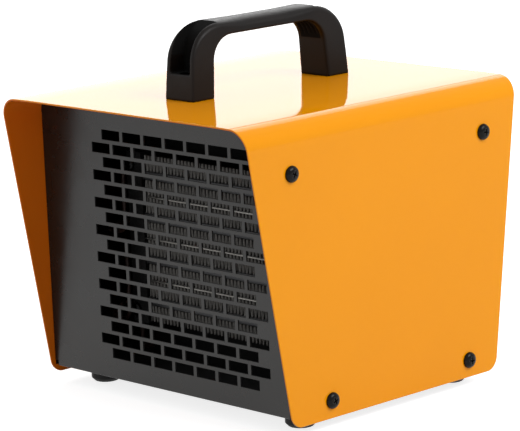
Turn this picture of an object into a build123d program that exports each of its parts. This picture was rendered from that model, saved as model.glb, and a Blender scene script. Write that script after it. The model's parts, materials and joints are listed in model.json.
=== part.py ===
from build123d import *
import os

os.makedirs("parts", exist_ok=True)

# A ceramic fan heater: an orange sheet casing over a black sheet chassis, with a bridge handle.
# Millimetres. +Z is up and the front, with the slotted panel, faces -Y.
# The origin is on the floor, under the middle of the casing's flat top.

# ---------------------------------------------------------------- casing
casing_width = 200.0
casing_height = 166.0
casing_depth = 211.0            # length of the flat top, front to back
casing_sheet = 1.0
casing_bend = 12.0              # outside radius between the top and a side
front_rake = 27.0               # a side's lower edge starts this far behind the hood's edge
rear_rake = 22.7                # and ends this far in front of the top's rear edge
casing_corner = 7.0             # rounded lower corners of a side
foot_drop = 6.0                 # the feet reach this far below the sides

# ---------------------------------------------------------------- chassis
chassis_sheet = 1.0
sheet_gap = 0.2                 # between the chassis and the casing
front_recess = 28.5             # front panel behind the hood's edge
rear_recess = 24.65             # rear panel in front of the top's rear edge
base_lift = 4.7                 # base above the sides' lower edge
panel_flange = 10.0             # turned-in edges of the front and rear panels
rear_screw_spread = 60.0        # screws under the rear panel, from the middle
base_flange = 14.0              # turned-up edges of the base
flange_gap = 2.0                # between the base's flange and the rear panel's
bend_radius = 1.8               # outside radius of the chassis bends
corner_relief = 3.0             # notch where two bends would meet

# ---------------------------------------------------------------- slots of the front panel
slot_width = 15.0
slot_height = 5.6
slot_pitch = 17.54
row_pitch = 7.86
slot_bottom_margin = 12.1       # base to the lowest row
slot_top_margin = 14.0          # least plain strip above the highest row
slot_side_margin = 16.8         # plain strip on the fan's side
bay_margin = 40.0               # least plain strip in front of the electrical bay
intake_radius = 59.0            # slots of the rear panel lie inside this circle
intake_row = 7                  # and at most this many side by side

# ---------------------------------------------------------------- fasteners
m4 = 2.0                        # radii of the threads
m3 = 1.5
bolt_fit = 0.15                 # radial clearance of a screw in its hole
nut_width = 7.0                 # across flats, M4
nut_height = 3.2
pan_radius = 4.6                # casing screws
pan_height = 2.8
head_rim = 0.3                  # shares of a pan head: upright rim, flat crown, cross recess
head_crown = 0.6
cross_width = 0.24
cross_depth = 0.6
casing_screw_length = 7.0
panel_screw_inset = 4.1         # casing screws behind the panels' outer faces
base_screw_rise = 5.3           # casing screws above the base's underside
upper_screw_drop = 28.0         # upper casing screws below the casing's top
lower_screw_front = 28.0        # lower casing screws behind the front panel
lower_screw_rear = 20.65        # and in front of the rear panel
collar_radius = 2.9             # drawn and tapped collars of the chassis
collar_height = 1.6
plate_screw_radius = 3.8        # screws of the base, the fan and the heater
plate_screw_head = 2.2
thread_stand_out = 1.0          # screw tip beyond its nut

# ---------------------------------------------------------------- feet
foot_radius = 8.8
foot_round = 2.0
foot_inset = 19.5               # foot axis inside the casing's side
front_foot_setback = 22.9       # behind the front panel
rear_foot_setback = 15.25       # in front of the rear panel
foot_recess_radius = 4.4
foot_recess_depth = 5.2

# ---------------------------------------------------------------- handle
handle_shift = 1.0              # handle's middle behind the middle of the top
handle_half = 60.8              # half length over the legs, at the base
leg_depth = 15.6
leg_lean = 0.08                 # legs lean in, mm for each mm of height
handle_height = 41.8
grip_thickness = 7.6
elbow_outer = 24.0
elbow_inner = 12.0
handle_base_width = 23.1
handle_top_width = 20.8
handle_edge = 8.0               # rounded upper edges
pocket_floor = 14.5             # screw pocket above the base of a leg
pocket_wall = 3.0               # side walls of the pocket
pocket_depth = 11.7             # from the leg's outer face
pocket_lean = 0.6               # its back wall leans in up to the elbow
pocket_curve = 24.0             # where the wall starts to curve, above the casing
pocket_mouth = 9.0              # how far the curve reaches in at the top of the grip
groove_width = 1.5              # finger grooves under the grip
groove_depth = 1.3
groove_pitch = 3.4
groove_count = 4
groove_start = 23.0             # the grooves begin this far above the casing
handle_bolt = 2.5               # M5
handle_bolt_head = 4.25
handle_bolt_head_height = 5.0
handle_washer_radius = 4.75
handle_bore_fit = 0.15          # round the washer, in its counterbore
handle_bore_depth = 6.2         # the heads are sunk below the pocket's floor
washer_thickness = 1.0
handle_nut_width = 8.0
handle_nut_height = 4.7

# ---------------------------------------------------------------- heating element
element_recess = 23.0           # element behind the front panel's outer face
unit_count = 4
unit_pitch = 24.3
tube_height = 5.0
tube_wall = 0.8
tube_depth = 18.0
joint_plate = 0.7
fin_width = 109.0
fin_pitch = 2.8
fin_sheet = 0.2
fin_crest = 0.5                 # flat top of a fold
end_frame_depth = 20.0
end_frame_rise = 1.2            # end frames stand above the highest fins
tube_bite = 6.0                 # tubes reach into the end frames
element_fit = 0.15
electrode_thickness = 0.5
tab_width = 6.3                 # blade terminals
tab_thickness = 0.8
tab_length = 9.0
tab_offset = 4.5
stone_count = 4
stone_length = 24.0
stone_pitch = 26.0
stone_depth = 14.0

# ---------------------------------------------------------------- bracket, duct and fan
bracket_sheet = 1.0
bracket_margin = 5.5            # bracket beyond the end frames
bracket_top_margin = 60.0       # above the air's axis
bracket_flange = 12.0
bracket_screw_spread = 50.0     # from the air's axis
heater_screw_rise = 42.0
heater_screw_wall = 9.3         # screw axis beyond the fins
heater_screw_room = 4.7         # and at least this far outside the duct's wall
heater_screw_inset = 2.7        # from an end frame's outer side
duct_sheet = 0.8
duct_margin = 1.0               # duct's inside beyond the fan's bore
duct_lip = 5.3                  # duct's front edge beyond the heater screws
fan_size = 120.0
fan_depth = 38.0
fan_bore = 57.3
fan_wall = 2.5
fan_flange = 5.0
fan_hole_pitch = 105.0
fan_corner = 6.0
motor_base_radius = 31.0
motor_base_thickness = 4.0
strut_width = 6.0
bearing_tube_radius = 8.0
bearing_tube_length = 22.0
bearing_radius = 6.5
bearing_width = 5.0
bearing_fit = 0.04
shaft_radius = 2.5
shaft_fit = 0.03
shaft_sink = 1.0                # shaft's front end behind the fan's front
shaft_chamfer = 0.4
clip_radius = 4.6
clip_thickness = 0.6
clip_gap = 0.3                  # in front of the front bearing
stator_radius = 25.7
stator_length = 12.0
stator_poles = 8
stator_slot = 3.0
winding_radius = 21.0
winding_height = 2.8
winding_gap = 2.0               # between the windings and the bearing tube
winding_round = 0.6             # bevelled edges of the winding rings
rotor_wall = 2.2
rotor_length = 20.0
hub_radius = 31.0
hub_wall = 2.2
hub_end = 2.5
hub_boss = 6.0
hub_fit = 0.01                  # hub on its shaft
hub_start_gap = 1.4             # impeller clear of the motor base
blade_count = 7
blade_margin = 1.5              # blades stop this far inside the hub's two ends
blade_sink = 1.0                # blade roots inside the hub's wall
blade_camber = 0.09             # rise of a blade's curve, as a share of its chord
blade_tip_gap = 1.3
blade_thickness = 2.0
blade_root_chord = 27.0
blade_tip_chord = 38.0
blade_root_angle = 52.0         # from the plane of rotation
blade_tip_angle = 34.0
intake_gap = 3.5                # impeller clear of the rear panel

# ---------------------------------------------------------------- controls
thermostat_height = 132.0       # above the floor
selector_height = 88.0
gland_height = 38.0
spindle_radius = 3.0
spindle_fit = 0.05
spindle_flat = 1.5              # cut off the spindle's round
spindle_reach = 11.0            # beyond the rear panel
panel_hole_margin = 1.5
switch_size = 32.0
switch_depth = 26.0
switch_screw_pitch = 22.0
thermostat_margin = 7.955       # between the thermostat's body and each side of the bay
thermostat_rise = 28.0
thermostat_depth = 20.0
spindle_bore_depth = 16.0
knob_radius = 16.5
knob_skirt = 3.2
knob_height = 14.0
knob_grip = 8.0
knob_gap = 2.9                  # skirt to the rear panel, over the screw heads
knob_socket = 9.0
knob_round = 1.0                # bevelled edge of the skirt
knob_line = 1.2                 # pointer line, cut into the grip
knob_line_length = 11.0
knob_line_depth = 0.6
spindle_end_gap = 0.3           # behind a spindle's blind end
switch_corner = 3.0
small_head_radius = 2.8
small_head = 1.9
small_screw_length = 7.0
bimetal_inset = 5.0             # the strip ends this far inside the body's side
bimetal_width = 8.0
bimetal_thickness = 0.8
bimetal_stand = 4.0             # held this far in front of the thermostat's body
bimetal_pad = 6.0
contact_radius = 1.6
contact_inset = 10.0            # the contact stands this far inside the same side
selector_tab_side = 8.0         # tabs from the switch's axis
selector_tab_rise = 9.0
thermostat_tab_inset = 5.0      # and so do its tabs
thermostat_tab_rise = 8.5
thermostat_rest_turn = -135.0   # pointer at the lowest setting, from straight up

# ---------------------------------------------------------------- cut-out, terminals, gland
cutout_radius = 8.0
cutout_height = 8.0
cutout_setback = 20.0           # behind the bracket
cutout_rise = 30.0              # above the air's axis
cutout_screw_pitch = 24.0
cutout_plate = 1.0
cutout_ear = 8.0
cutout_screw_stand = 3.0        # screw tips inside the duct
cutout_tab_rise = 4.0
block_width = 32.0
block_depth = 20.0
block_height = 15.0
block_setback = 36.0            # block's middle in front of the rear panel
block_head_radius = 2.3
pole_count = 3
pole_pitch = 10.0
wire_hole = 2.0
wire_rise = 6.75                # wires above the base, in the terminal block
clamp_screw_radius = 1.9
clamp_screw_length = 6.0
clamp_sink = 0.5                # clamp screws below the block's top
clamp_slot = 0.7
earth_setback = 66.0            # earth stud in front of the rear panel
earth_lug = 1.0                 # ring lug between the earth nuts
lug_radius = 4.0
gland_thread = 8.0
gland_bore = 5.2
gland_hex = 20.0
gland_flange = 4.0
gland_nose = 6.0
gland_inner_length = 9.0
gland_nut_width = 22.0
gland_nut_height = 4.0
gland_cap_length = 13.0
seal_bore = 4.6
seal_radius = 6.2
nose_radius = 7.4
cap_radius = 9.6                # the cap's round part
cap_hex_length = 7.0
cap_taper = 3.5
cap_wall = 1.4
cap_gap = 1.0

past = 1.0                      # cuts run this far past a face

# ---------------------------------------------------------------- wires
wire_radius = 1.2
wire_bend = 6.0                 # radius of a bend along a wire's middle
tight_bend = 3.0                # and of the fan's short lead
wire_reach = 8.0                # a wire's end inside the terminal block
lane_outer = 17.0               # the live wire's upright, from the controls' axis towards the side
lane_rise = 15.0                # room above and below the element's terminals for a turn
neutral_lead_z = 60.0           # where the fan's neutral lead leaves it

# ================================================================ places worked out from the sizes
hood_edge = -casing_depth / 2
top_rear = casing_depth / 2
casing_bottom = foot_drop
casing_top = casing_bottom + casing_height
casing_inside = casing_width / 2 - casing_sheet
front_panel = hood_edge + front_recess
rear_panel_face = top_rear - rear_recess
rear_panel_back = rear_panel_face - chassis_sheet      # inside of the rear panel
base_under = casing_bottom + base_lift
base_top = base_under + chassis_sheet
chassis_side = casing_inside - sheet_gap
chassis_top = casing_top - casing_sheet - sheet_gap

# slots: a long row and a short row take turns, and the fan's axis is at their middle
long_row = int((2 * chassis_side - slot_side_margin - bay_margin + slot_pitch - slot_width) // slot_pitch)
long_row_width = long_row * slot_pitch - (slot_pitch - slot_width)
slot_room = chassis_top - base_under - slot_bottom_margin - slot_top_margin - slot_height
row_count = int(slot_room // row_pitch) + 1
air_x = chassis_side - slot_side_margin - long_row_width / 2
air_z = base_under + slot_bottom_margin + slot_height / 2 + (row_count - 1) / 2 * row_pitch

element_front = front_panel + element_recess
element_back = element_front + end_frame_depth
element_half = (unit_count * unit_pitch - joint_plate) / 2
fin_height = (unit_pitch - tube_height - joint_plate) / 2
tube_front = element_front + (end_frame_depth - tube_depth) / 2
tube_half = fin_width / 2 + tube_bite
unit_levels = [air_z + (n - (unit_count - 1) / 2) * unit_pitch for n in range(unit_count)]
joint_levels = [level + unit_pitch / 2 for level in unit_levels[:-1]]

bracket_back = element_back + bracket_sheet
duct_inside = fan_bore + duct_margin
duct_outside = duct_inside + duct_sheet
heater_screw_x = max(fin_width / 2 + heater_screw_wall, duct_outside + heater_screw_room)
end_frame_outside = heater_screw_x + heater_screw_inset
bracket_half = end_frame_outside + bracket_margin
fan_back = rear_panel_back
fan_front = fan_back - fan_depth
motor_base_back = fan_front + motor_base_thickness
hub_front = motor_base_back + hub_start_gap
hub_back = fan_back - intake_gap
hub_inside = hub_radius - hub_wall
shaft_back = hub_back - hub_end / 2
boss_front = motor_base_back + bearing_tube_length + hub_start_gap
bearing_starts = [fan_front + motor_base_thickness, motor_base_back + bearing_tube_length - bearing_width]

bay_x = (air_x - fan_size / 2 - chassis_side) / 2      # midway between the fan and the chassis side
thermostat_width = air_x - fan_size / 2 + chassis_side - 2 * thermostat_margin
thermostat_side = bay_x + thermostat_width / 2
handle_y = handle_shift
leg_inside = handle_half - leg_depth
handle_bolt_half = (handle_half + leg_inside) / 2
foot_x = casing_width / 2 - foot_inset
foot_ys = (front_panel + front_foot_setback, rear_panel_face - rear_foot_setback)
knob_front = rear_panel_face + knob_gap
pole_xs = [bay_x + (n - (pole_count - 1) / 2) * pole_pitch for n in range(pole_count)]
earth_x, live_x, neutral_x = pole_xs
block_y = rear_panel_face - block_setback
earth_y = rear_panel_face - earth_setback
upper_screw_z = casing_top - upper_screw_drop
lower_screw_z = base_under + base_screw_rise
side_screws = [
    (front_panel + panel_screw_inset, upper_screw_z),
    (rear_panel_face - panel_screw_inset, upper_screw_z),
    (front_panel + lower_screw_front, lower_screw_z),
    (rear_panel_face - lower_screw_rear, lower_screw_z),
]
corners = [(i, k) for i in (-1, 1) for k in (-1, 1)]
fan_holes = [(air_x + i * fan_hole_pitch / 2, air_z + k * fan_hole_pitch / 2) for i, k in corners]
heater_holes = [(air_x + i * heater_screw_x, air_z + k * heater_screw_rise) for i, k in corners]
rear_screw_y = rear_panel_face - panel_flange / 2
bracket_screw_y = bracket_back + bracket_flange / 2
base_bolts = [(x, rear_screw_y) for x in (-rear_screw_spread, 0.0, rear_screw_spread)]
base_bolts += [(air_x + i * bracket_screw_spread, bracket_screw_y) for i in (-1, 1)]
foot_places = [(i * foot_x, y) for i in (-1, 1) for y in foot_ys]


# ================================================================ helpers
def facing_front(y):
    """Sketch plane at depth y: local x is X, local y is Z, and extruding goes towards the front."""
    return Plane.XZ.offset(-y)


def facing_side(x):
    """Sketch plane at width x: local x is Y, local y is Z, and extruding goes towards +X."""
    return Plane.YZ.offset(x)


def level(z):
    """Sketch plane at height z."""
    return Plane.XY.offset(z)


def upright(x, y, z):
    """A plane at a point, looking up."""
    return Plane(origin=(x, y, z))


def seat(x, y, z, out):
    """A plane on the surface under a screw's head, looking out along the head."""
    return Plane(origin=(x, y, z), z_dir=out)


def turned(place, outline, mode=Mode.ADD):
    """Turns a closed outline of (radius, height) points about the place's axis."""
    section = Plane(origin=place.origin, x_dir=place.x_dir, z_dir=-place.y_dir)
    with BuildSketch(section) as profile:
        with BuildLine():
            Polyline(*outline, close=True)
        make_face()
    revolve(profile.sketch, axis=Axis(place.origin, place.z_dir), mode=mode)


def disc(place, radius, height, mode=Mode.ADD):
    """A round disc or hole standing on a place."""
    with BuildSketch(place) as profile:
        Circle(radius)
    extrude(profile.sketch, amount=height, mode=mode)


def ring(place, outer, inner, height):
    """A flat ring standing on a place."""
    with BuildSketch(place) as profile:
        Circle(outer)
        Circle(inner, mode=Mode.SUBTRACT)
    extrude(profile.sketch, amount=height)


def slab(x0, x1, y0, y1, z0, z1, mode=Mode.ADD):
    """A straight block between two corners."""
    with BuildSketch(level(z0)) as profile:
        with Locations(((x0 + x1) / 2, (y0 + y1) / 2)):
            Rectangle(x1 - x0, y1 - y0)
    extrude(profile.sketch, amount=z1 - z0, mode=mode)


def pan_screw(place, head_radius, head_height, shank_radius, length):
    """A pan-head screw with a cross recess; its shank goes down through the place."""
    rim = (head_radius, head_height * head_rim)
    crown = (head_radius * head_crown, head_height)
    shoulder = ((rim[0] * 2 + crown[0]) / 3, (rim[1] + crown[1] * 2) / 3)
    section = Plane(origin=place.origin, x_dir=place.x_dir, z_dir=-place.y_dir)
    with BuildSketch(section) as profile:
        with BuildLine():
            Polyline((0, head_height), (0, -length), (shank_radius, -length), (shank_radius, 0),
                     (head_radius, 0), rim)
            ThreePointArc(rim, shoulder, crown)
            Line(crown, (0, head_height))
        make_face()
    revolve(profile.sketch, axis=Axis(place.origin, place.z_dir))
    with BuildSketch(place.offset(head_height)) as cross:
        Rectangle(head_radius, head_radius * cross_width)
        Rectangle(head_radius * cross_width, head_radius)
    extrude(cross.sketch, amount=-head_height * cross_depth, mode=Mode.SUBTRACT)


def hex_nut(place, width, height, bore):
    """A hexagon nut standing on a place."""
    with BuildSketch(place) as profile:
        RegularPolygon(width / 2, 6, major_radius=False)
        Circle(bore, mode=Mode.SUBTRACT)
    extrude(profile.sketch, amount=height)


def holes_along_y(places, radius, y0, y1):
    """Round holes along Y, from y0 back to y1."""
    with BuildSketch(facing_front(y1)) as profile:
        with Locations(*places):
            Circle(radius)
    extrude(profile.sketch, amount=y1 - y0, mode=Mode.SUBTRACT)


def holes_along_z(places, radius, z0, z1):
    """Round holes along Z, from z0 up to z1."""
    with BuildSketch(level(z0)) as profile:
        with Locations(*places):
            Circle(radius)
    extrude(profile.sketch, amount=z1 - z0, mode=Mode.SUBTRACT)


def trim_to_casing(face, inside, flange_end, z0, z1):
    """Cuts a folded sheet to fit its place: rounded upper corners beside the casing's bend, flanges that
    stop short of it, and a small notch at each lower corner of the face."""
    with BuildSketch(facing_front(casing_depth)) as room:
        with Locations((0, z0)):
            Rectangle(2 * chassis_side, z1 - z0, align=(Align.CENTER, Align.MIN))
        fillet(room.vertices().group_by(Axis.Y)[-1], casing_bend - casing_sheet)
    extrude(room.sketch, amount=2 * casing_depth, mode=Mode.INTERSECT)
    start, end = sorted((inside, flange_end))
    for i in (-1, 1):
        corner = i * chassis_side
        slab(corner - casing_bend, corner + casing_bend, start, end, z1 - casing_bend, z1 + 1, Mode.SUBTRACT)
        slab(corner - corner_relief, corner + corner_relief, face - corner_relief, face + corner_relief,
             z0 - corner_relief, z0 + corner_relief, Mode.SUBTRACT)


def grille_slots(places, y0, y1):
    """Rectangular slots through a sheet that lies between y0 and y1."""
    with BuildSketch(facing_front(y1)) as profile:
        with Locations(*places):
            Rectangle(slot_width, slot_height)
    extrude(profile.sketch, amount=y1 - y0, mode=Mode.SUBTRACT)


def slot_rows(rows, longest):
    """Middles of staggered slots, seen from the front: rows above and below the air's axis."""
    places = []
    for row in range(rows):
        count = longest - 1 if row % 2 == 0 else longest
        z = air_z + (row - (rows - 1) / 2) * row_pitch
        places += [(air_x + (n - (count - 1) / 2) * slot_pitch, z) for n in range(count)]
    return places


parts = []


def finish(builder, name):
    """Labels a finished sub-part and keeps it for writing."""
    builder.part.label = name
    parts.append(builder.part)


# ================================================================ outer casing
with BuildPart() as outer_casing:
    with BuildSketch(facing_front(top_rear)) as casing_section:
        with Locations((0, casing_bottom)):
            Rectangle(casing_width, casing_height, align=(Align.CENTER, Align.MIN))
        fillet(casing_section.vertices().group_by(Axis.Y)[-1], casing_bend)
        with BuildSketch(facing_front(top_rear), mode=Mode.SUBTRACT) as casing_hollow:
            with Locations((0, casing_bottom - casing_sheet)):
                Rectangle(2 * casing_inside, casing_height, align=(Align.CENTER, Align.MIN))
            fillet(casing_hollow.vertices().group_by(Axis.Y)[-1], casing_bend - casing_sheet)
    extrude(amount=casing_depth)
    with BuildSketch(Plane.YZ) as casing_side:
        with BuildLine():
            Polyline((hood_edge, casing_top), (hood_edge + front_rake, casing_bottom),
                     (top_rear - rear_rake, casing_bottom), (top_rear, casing_top), close=True)
        make_face()
        fillet(casing_side.vertices().group_by(Axis.Y)[0], casing_corner)
    extrude(amount=casing_width, both=True, mode=Mode.INTERSECT)
    with BuildSketch(facing_side(-casing_width)):
        with Locations(*side_screws):
            Circle(m4 + bolt_fit)
    extrude(amount=2 * casing_width, mode=Mode.SUBTRACT)
    holes_along_z([(0, handle_y + i * handle_bolt_half) for i in (-1, 1)], handle_bolt + bolt_fit,
                  casing_top - 2 * casing_sheet, casing_top + casing_sheet)
finish(outer_casing, "outer_casing")

# ================================================================ front panel and base, one folded sheet
base_flange_end = rear_panel_face - panel_flange - flange_gap
with BuildPart() as front_chassis:
    with BuildSketch(Plane.YZ):
        with BuildLine():
            Polyline((front_panel, base_under), (rear_panel_face, base_under), (rear_panel_face, base_top),
                     (base_flange_end, base_top), (base_flange_end, base_under + base_flange),
                     (front_panel + panel_flange, base_under + base_flange),
                     (front_panel + panel_flange, chassis_top), (front_panel, chassis_top), close=True)
        make_face()
    extrude(amount=chassis_side, both=True)
    panel_edges = front_chassis.edges().group_by(Axis.Y)[0]
    base_edges = front_chassis.edges().filter_by(Axis.Y).group_by(Axis.Z)[0]
    fillet(panel_edges + base_edges, bend_radius)
    slab(chassis_sheet - chassis_side, chassis_side - chassis_sheet, front_panel + chassis_sheet,
         rear_panel_face + panel_flange, base_top, chassis_top - chassis_sheet, Mode.SUBTRACT)
    trim_to_casing(front_panel, front_panel + chassis_sheet, front_panel + panel_flange,
                   base_under, chassis_top)
    grille_slots(slot_rows(row_count, long_row), front_panel - chassis_sheet, front_panel + 2 * chassis_sheet)
    for y, z in [side_screws[0], side_screws[2], side_screws[3]]:
        for i in (-1, 1):
            disc(seat(i * (chassis_side - chassis_sheet), y, z, (-i, 0, 0)), collar_radius, collar_height)
            disc(seat(i * chassis_side, y, z, (-i, 0, 0)), m4 + bolt_fit, 2 * collar_height, Mode.SUBTRACT)
    base_holes = foot_places + base_bolts + [(earth_x, earth_y)]
    holes_along_z(base_holes, m4 + bolt_fit, base_under - chassis_sheet, base_top + chassis_sheet)
    block_screw_places = [(bay_x + i * pole_pitch / 2, block_y) for i in (-1, 1)]
    holes_along_z(block_screw_places, m3 + bolt_fit, base_under - chassis_sheet, base_top + chassis_sheet)
finish(front_chassis, "front_chassis")

# ================================================================ rear panel
spindle_places = [(bay_x, thermostat_height), (bay_x, selector_height)]
control_screws = {
    "thermostat": [(bay_x + i * switch_screw_pitch / 2, thermostat_height) for i in (-1, 1)],
    "selector": [(bay_x + i * switch_screw_pitch / 2, selector_height) for i in (-1, 1)],
}
intake_rows = 2 * int(intake_radius // row_pitch) - 1
intake_slots = [
    (x, z) for x, z in slot_rows(intake_rows, intake_row)
    if (abs(x - air_x) + slot_width / 2) ** 2 + (abs(z - air_z) + slot_height / 2) ** 2 < intake_radius ** 2
]
with BuildPart() as rear_panel:
    slab(-chassis_side, chassis_side, rear_panel_face - panel_flange, rear_panel_face, base_top, chassis_top)
    fillet(rear_panel.edges().group_by(Axis.Y)[-1], bend_radius)
    slab(chassis_sheet - chassis_side, chassis_side - chassis_sheet,
         rear_panel_face - 2 * panel_flange, rear_panel_back,
         base_top + chassis_sheet, chassis_top - chassis_sheet, Mode.SUBTRACT)
    trim_to_casing(rear_panel_face, rear_panel_back, rear_panel_face - panel_flange, base_top, chassis_top)
    grille_slots(intake_slots, rear_panel_back - chassis_sheet, rear_panel_face + chassis_sheet)
    for i in (-1, 1):
        y, z = side_screws[1]
        disc(seat(i * (chassis_side - chassis_sheet), y, z, (-i, 0, 0)), collar_radius, collar_height)
        disc(seat(i * chassis_side, y, z, (-i, 0, 0)), m4 + bolt_fit, 2 * collar_height, Mode.SUBTRACT)
    holes_along_y(fan_holes, m4 + bolt_fit, rear_panel_back - chassis_sheet, rear_panel_face + chassis_sheet)
    holes_along_y(spindle_places, spindle_radius + panel_hole_margin,
                  rear_panel_back - chassis_sheet, rear_panel_face + chassis_sheet)
    holes_along_y(control_screws["thermostat"] + control_screws["selector"], m3 + bolt_fit,
                  rear_panel_back - chassis_sheet, rear_panel_face + chassis_sheet)
    holes_along_y([(bay_x, gland_height)], gland_thread + bolt_fit,
                  rear_panel_back - chassis_sheet, rear_panel_face + chassis_sheet)
    holes_along_z(base_bolts[:3], m4 + bolt_fit, base_top - chassis_sheet, base_top + 2 * chassis_sheet)
finish(rear_panel, "rear_panel")

# ================================================================ handle
handle_foot = casing_top
grip_under = handle_height - grip_thickness


def handle_point(outward, height):
    """A point of the handle's side view: distance from its middle, height above the casing."""
    return (handle_y + outward, handle_foot + height)


with BuildPart() as screw_pocket:
    # open on the leg's outer face and over the elbow; its back wall curves up to the grip's top
    wall_start = handle_half - leg_lean * pocket_floor - pocket_depth
    with BuildSketch(facing_side(0)):
        with BuildLine():
            back = Line(handle_point(wall_start, pocket_floor),
                        handle_point(wall_start - pocket_lean, pocket_curve))
            over = TangentArc(back @ 1, handle_point(wall_start - pocket_mouth, handle_height + past),
                              tangent=back % 1)
            Polyline(over @ 1, handle_point(handle_half + past, handle_height + past),
                     handle_point(handle_half + past, pocket_floor), back @ 0)
        make_face()
    extrude(amount=handle_base_width, both=True)
    with BuildSketch(facing_front(handle_y + 2 * handle_half)):
        with BuildLine():
            Polyline((-handle_base_width / 2 + pocket_wall, handle_foot),
                     (handle_base_width / 2 - pocket_wall, handle_foot),
                     (handle_top_width / 2 - pocket_wall, handle_foot + handle_height + past),
                     (-handle_top_width / 2 + pocket_wall, handle_foot + handle_height + past), close=True)
        make_face()
    extrude(amount=4 * handle_half, mode=Mode.INTERSECT)

with BuildPart() as handle:
    with BuildSketch(facing_side(0)):
        with BuildLine():
            outside_top = handle_half - leg_lean * handle_height
            inside_top = leg_inside - leg_lean * grip_under
            FilletPolyline(handle_point(-handle_half, 0), handle_point(-outside_top, handle_height),
                           handle_point(outside_top, handle_height), handle_point(handle_half, 0),
                           radius=elbow_outer)
            FilletPolyline(handle_point(-leg_inside, 0), handle_point(-inside_top, grip_under),
                           handle_point(inside_top, grip_under), handle_point(leg_inside, 0),
                           radius=elbow_inner)
            Line(handle_point(-handle_half, 0), handle_point(-leg_inside, 0))
            Line(handle_point(handle_half, 0), handle_point(leg_inside, 0))
        make_face()
    extrude(amount=handle_base_width, both=True)
    with BuildSketch(facing_front(handle_y + 2 * handle_half)) as handle_section:
        with BuildLine():
            Polyline((-handle_base_width / 2, handle_foot), (handle_base_width / 2, handle_foot),
                     (handle_top_width / 2, handle_foot + handle_height),
                     (-handle_top_width / 2, handle_foot + handle_height), close=True)
        make_face()
        fillet(handle_section.vertices().group_by(Axis.Y)[-1], handle_edge)
    extrude(amount=4 * handle_half, mode=Mode.INTERSECT)
    with BuildSketch(facing_side(0)):
        # the grooves run along the underside and die out in the elbows
        groove_out = leg_inside - leg_lean * groove_start
        groove_top = grip_under + groove_depth
        with BuildLine():
            FilletPolyline(handle_point(-groove_out, groove_start), handle_point(-groove_out, groove_top),
                           handle_point(groove_out, groove_top), handle_point(groove_out, groove_start),
                           radius=elbow_inner)
            Line(handle_point(-groove_out, groove_start), handle_point(groove_out, groove_start))
        make_face()
    groove_profile = handle.pending_faces.copy()
    handle.pending_faces = []
    for n in range(groove_count):
        x = (n - (groove_count - 1) / 2) * groove_pitch - groove_width / 2
        extrude([face.moved(Location((x, 0, 0))) for face in groove_profile], amount=groove_width,
                mode=Mode.SUBTRACT)
    add(screw_pocket.part, mode=Mode.SUBTRACT)
    add(screw_pocket.part.mirror(facing_front(handle_y)), mode=Mode.SUBTRACT)
    bolt_axes = [(0, handle_y + i * handle_bolt_half) for i in (-1, 1)]
    holes_along_z(bolt_axes, handle_bolt + bolt_fit, handle_foot - past, handle_foot + pocket_floor + past)
    holes_along_z(bolt_axes, handle_washer_radius + handle_bore_fit,
                  handle_foot + pocket_floor - handle_bore_depth, handle_foot + pocket_floor + past)
finish(handle, "handle")

washer_seats = (handle_foot + pocket_floor - handle_bore_depth, casing_top - casing_sheet - washer_thickness)
bolt_seat = washer_seats[0] + washer_thickness
handle_bolt_length = bolt_seat - washer_seats[1] + handle_nut_height + thread_stand_out
with BuildPart() as handle_screws:
    for x, y in bolt_axes:
        disc(upright(x, y, bolt_seat), handle_bolt_head, handle_bolt_head_height)
        disc(upright(x, y, bolt_seat), handle_bolt, -handle_bolt_length)
        with BuildSketch(upright(x, y, bolt_seat + handle_bolt_head_height)):
            RegularPolygon(2.0, 6, major_radius=False)
        extrude(amount=-handle_bolt_head_height / 2, mode=Mode.SUBTRACT)
finish(handle_screws, "handle_screws")

with BuildPart() as handle_washers:
    for x, y in bolt_axes:
        for z in washer_seats:
            ring(upright(x, y, z), handle_washer_radius, handle_bolt + bolt_fit, washer_thickness)
finish(handle_washers, "handle_washers")

with BuildPart() as handle_nuts:
    for x, y in bolt_axes:
        hex_nut(upright(x, y, washer_seats[1] - handle_nut_height),
                handle_nut_width, handle_nut_height, handle_bolt + shaft_fit)
finish(handle_nuts, "handle_nuts")

# ================================================================ casing screws, feet, base fasteners
with BuildPart() as casing_screws:
    for y, z in side_screws:
        for i in (-1, 1):
            pan_screw(seat(i * casing_width / 2, y, z, (i, 0, 0)), pan_radius, pan_height,
                      m4, casing_screw_length)
finish(casing_screws, "casing_screws")

with BuildPart() as rubber_feet:
    for x, y in foot_places:
        turned(upright(x, y, 0), [
            (foot_recess_radius, 0), (foot_radius - foot_round, 0), (foot_radius, foot_round),
            (foot_radius, base_under), (m4 + bolt_fit, base_under),
            (m4 + bolt_fit, foot_recess_depth), (foot_recess_radius, foot_recess_depth)])
finish(rubber_feet, "rubber_feet")

foot_screw_length = base_top - foot_recess_depth + nut_height + thread_stand_out
with BuildPart() as foot_screws:
    for x, y in foot_places:
        pan_screw(seat(x, y, foot_recess_depth, (0, 0, -1)), plate_screw_radius, plate_screw_head,
                  m4, foot_screw_length)
finish(foot_screws, "foot_screws")

base_screw_length = 2 * chassis_sheet + nut_height + thread_stand_out
with BuildPart() as base_screws:
    for x, y in base_bolts:
        pan_screw(seat(x, y, base_under, (0, 0, -1)), plate_screw_radius, plate_screw_head,
                  m4, base_screw_length)
finish(base_screws, "base_screws")

with BuildPart() as base_nuts:
    for x, y in foot_places:
        hex_nut(upright(x, y, base_top), nut_width, nut_height, m4 + shaft_fit)
    for x, y in base_bolts:
        sheet = chassis_sheet if y == rear_screw_y else bracket_sheet
        hex_nut(upright(x, y, base_top + sheet), nut_width, nut_height, m4 + shaft_fit)
finish(base_nuts, "base_nuts")

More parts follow.
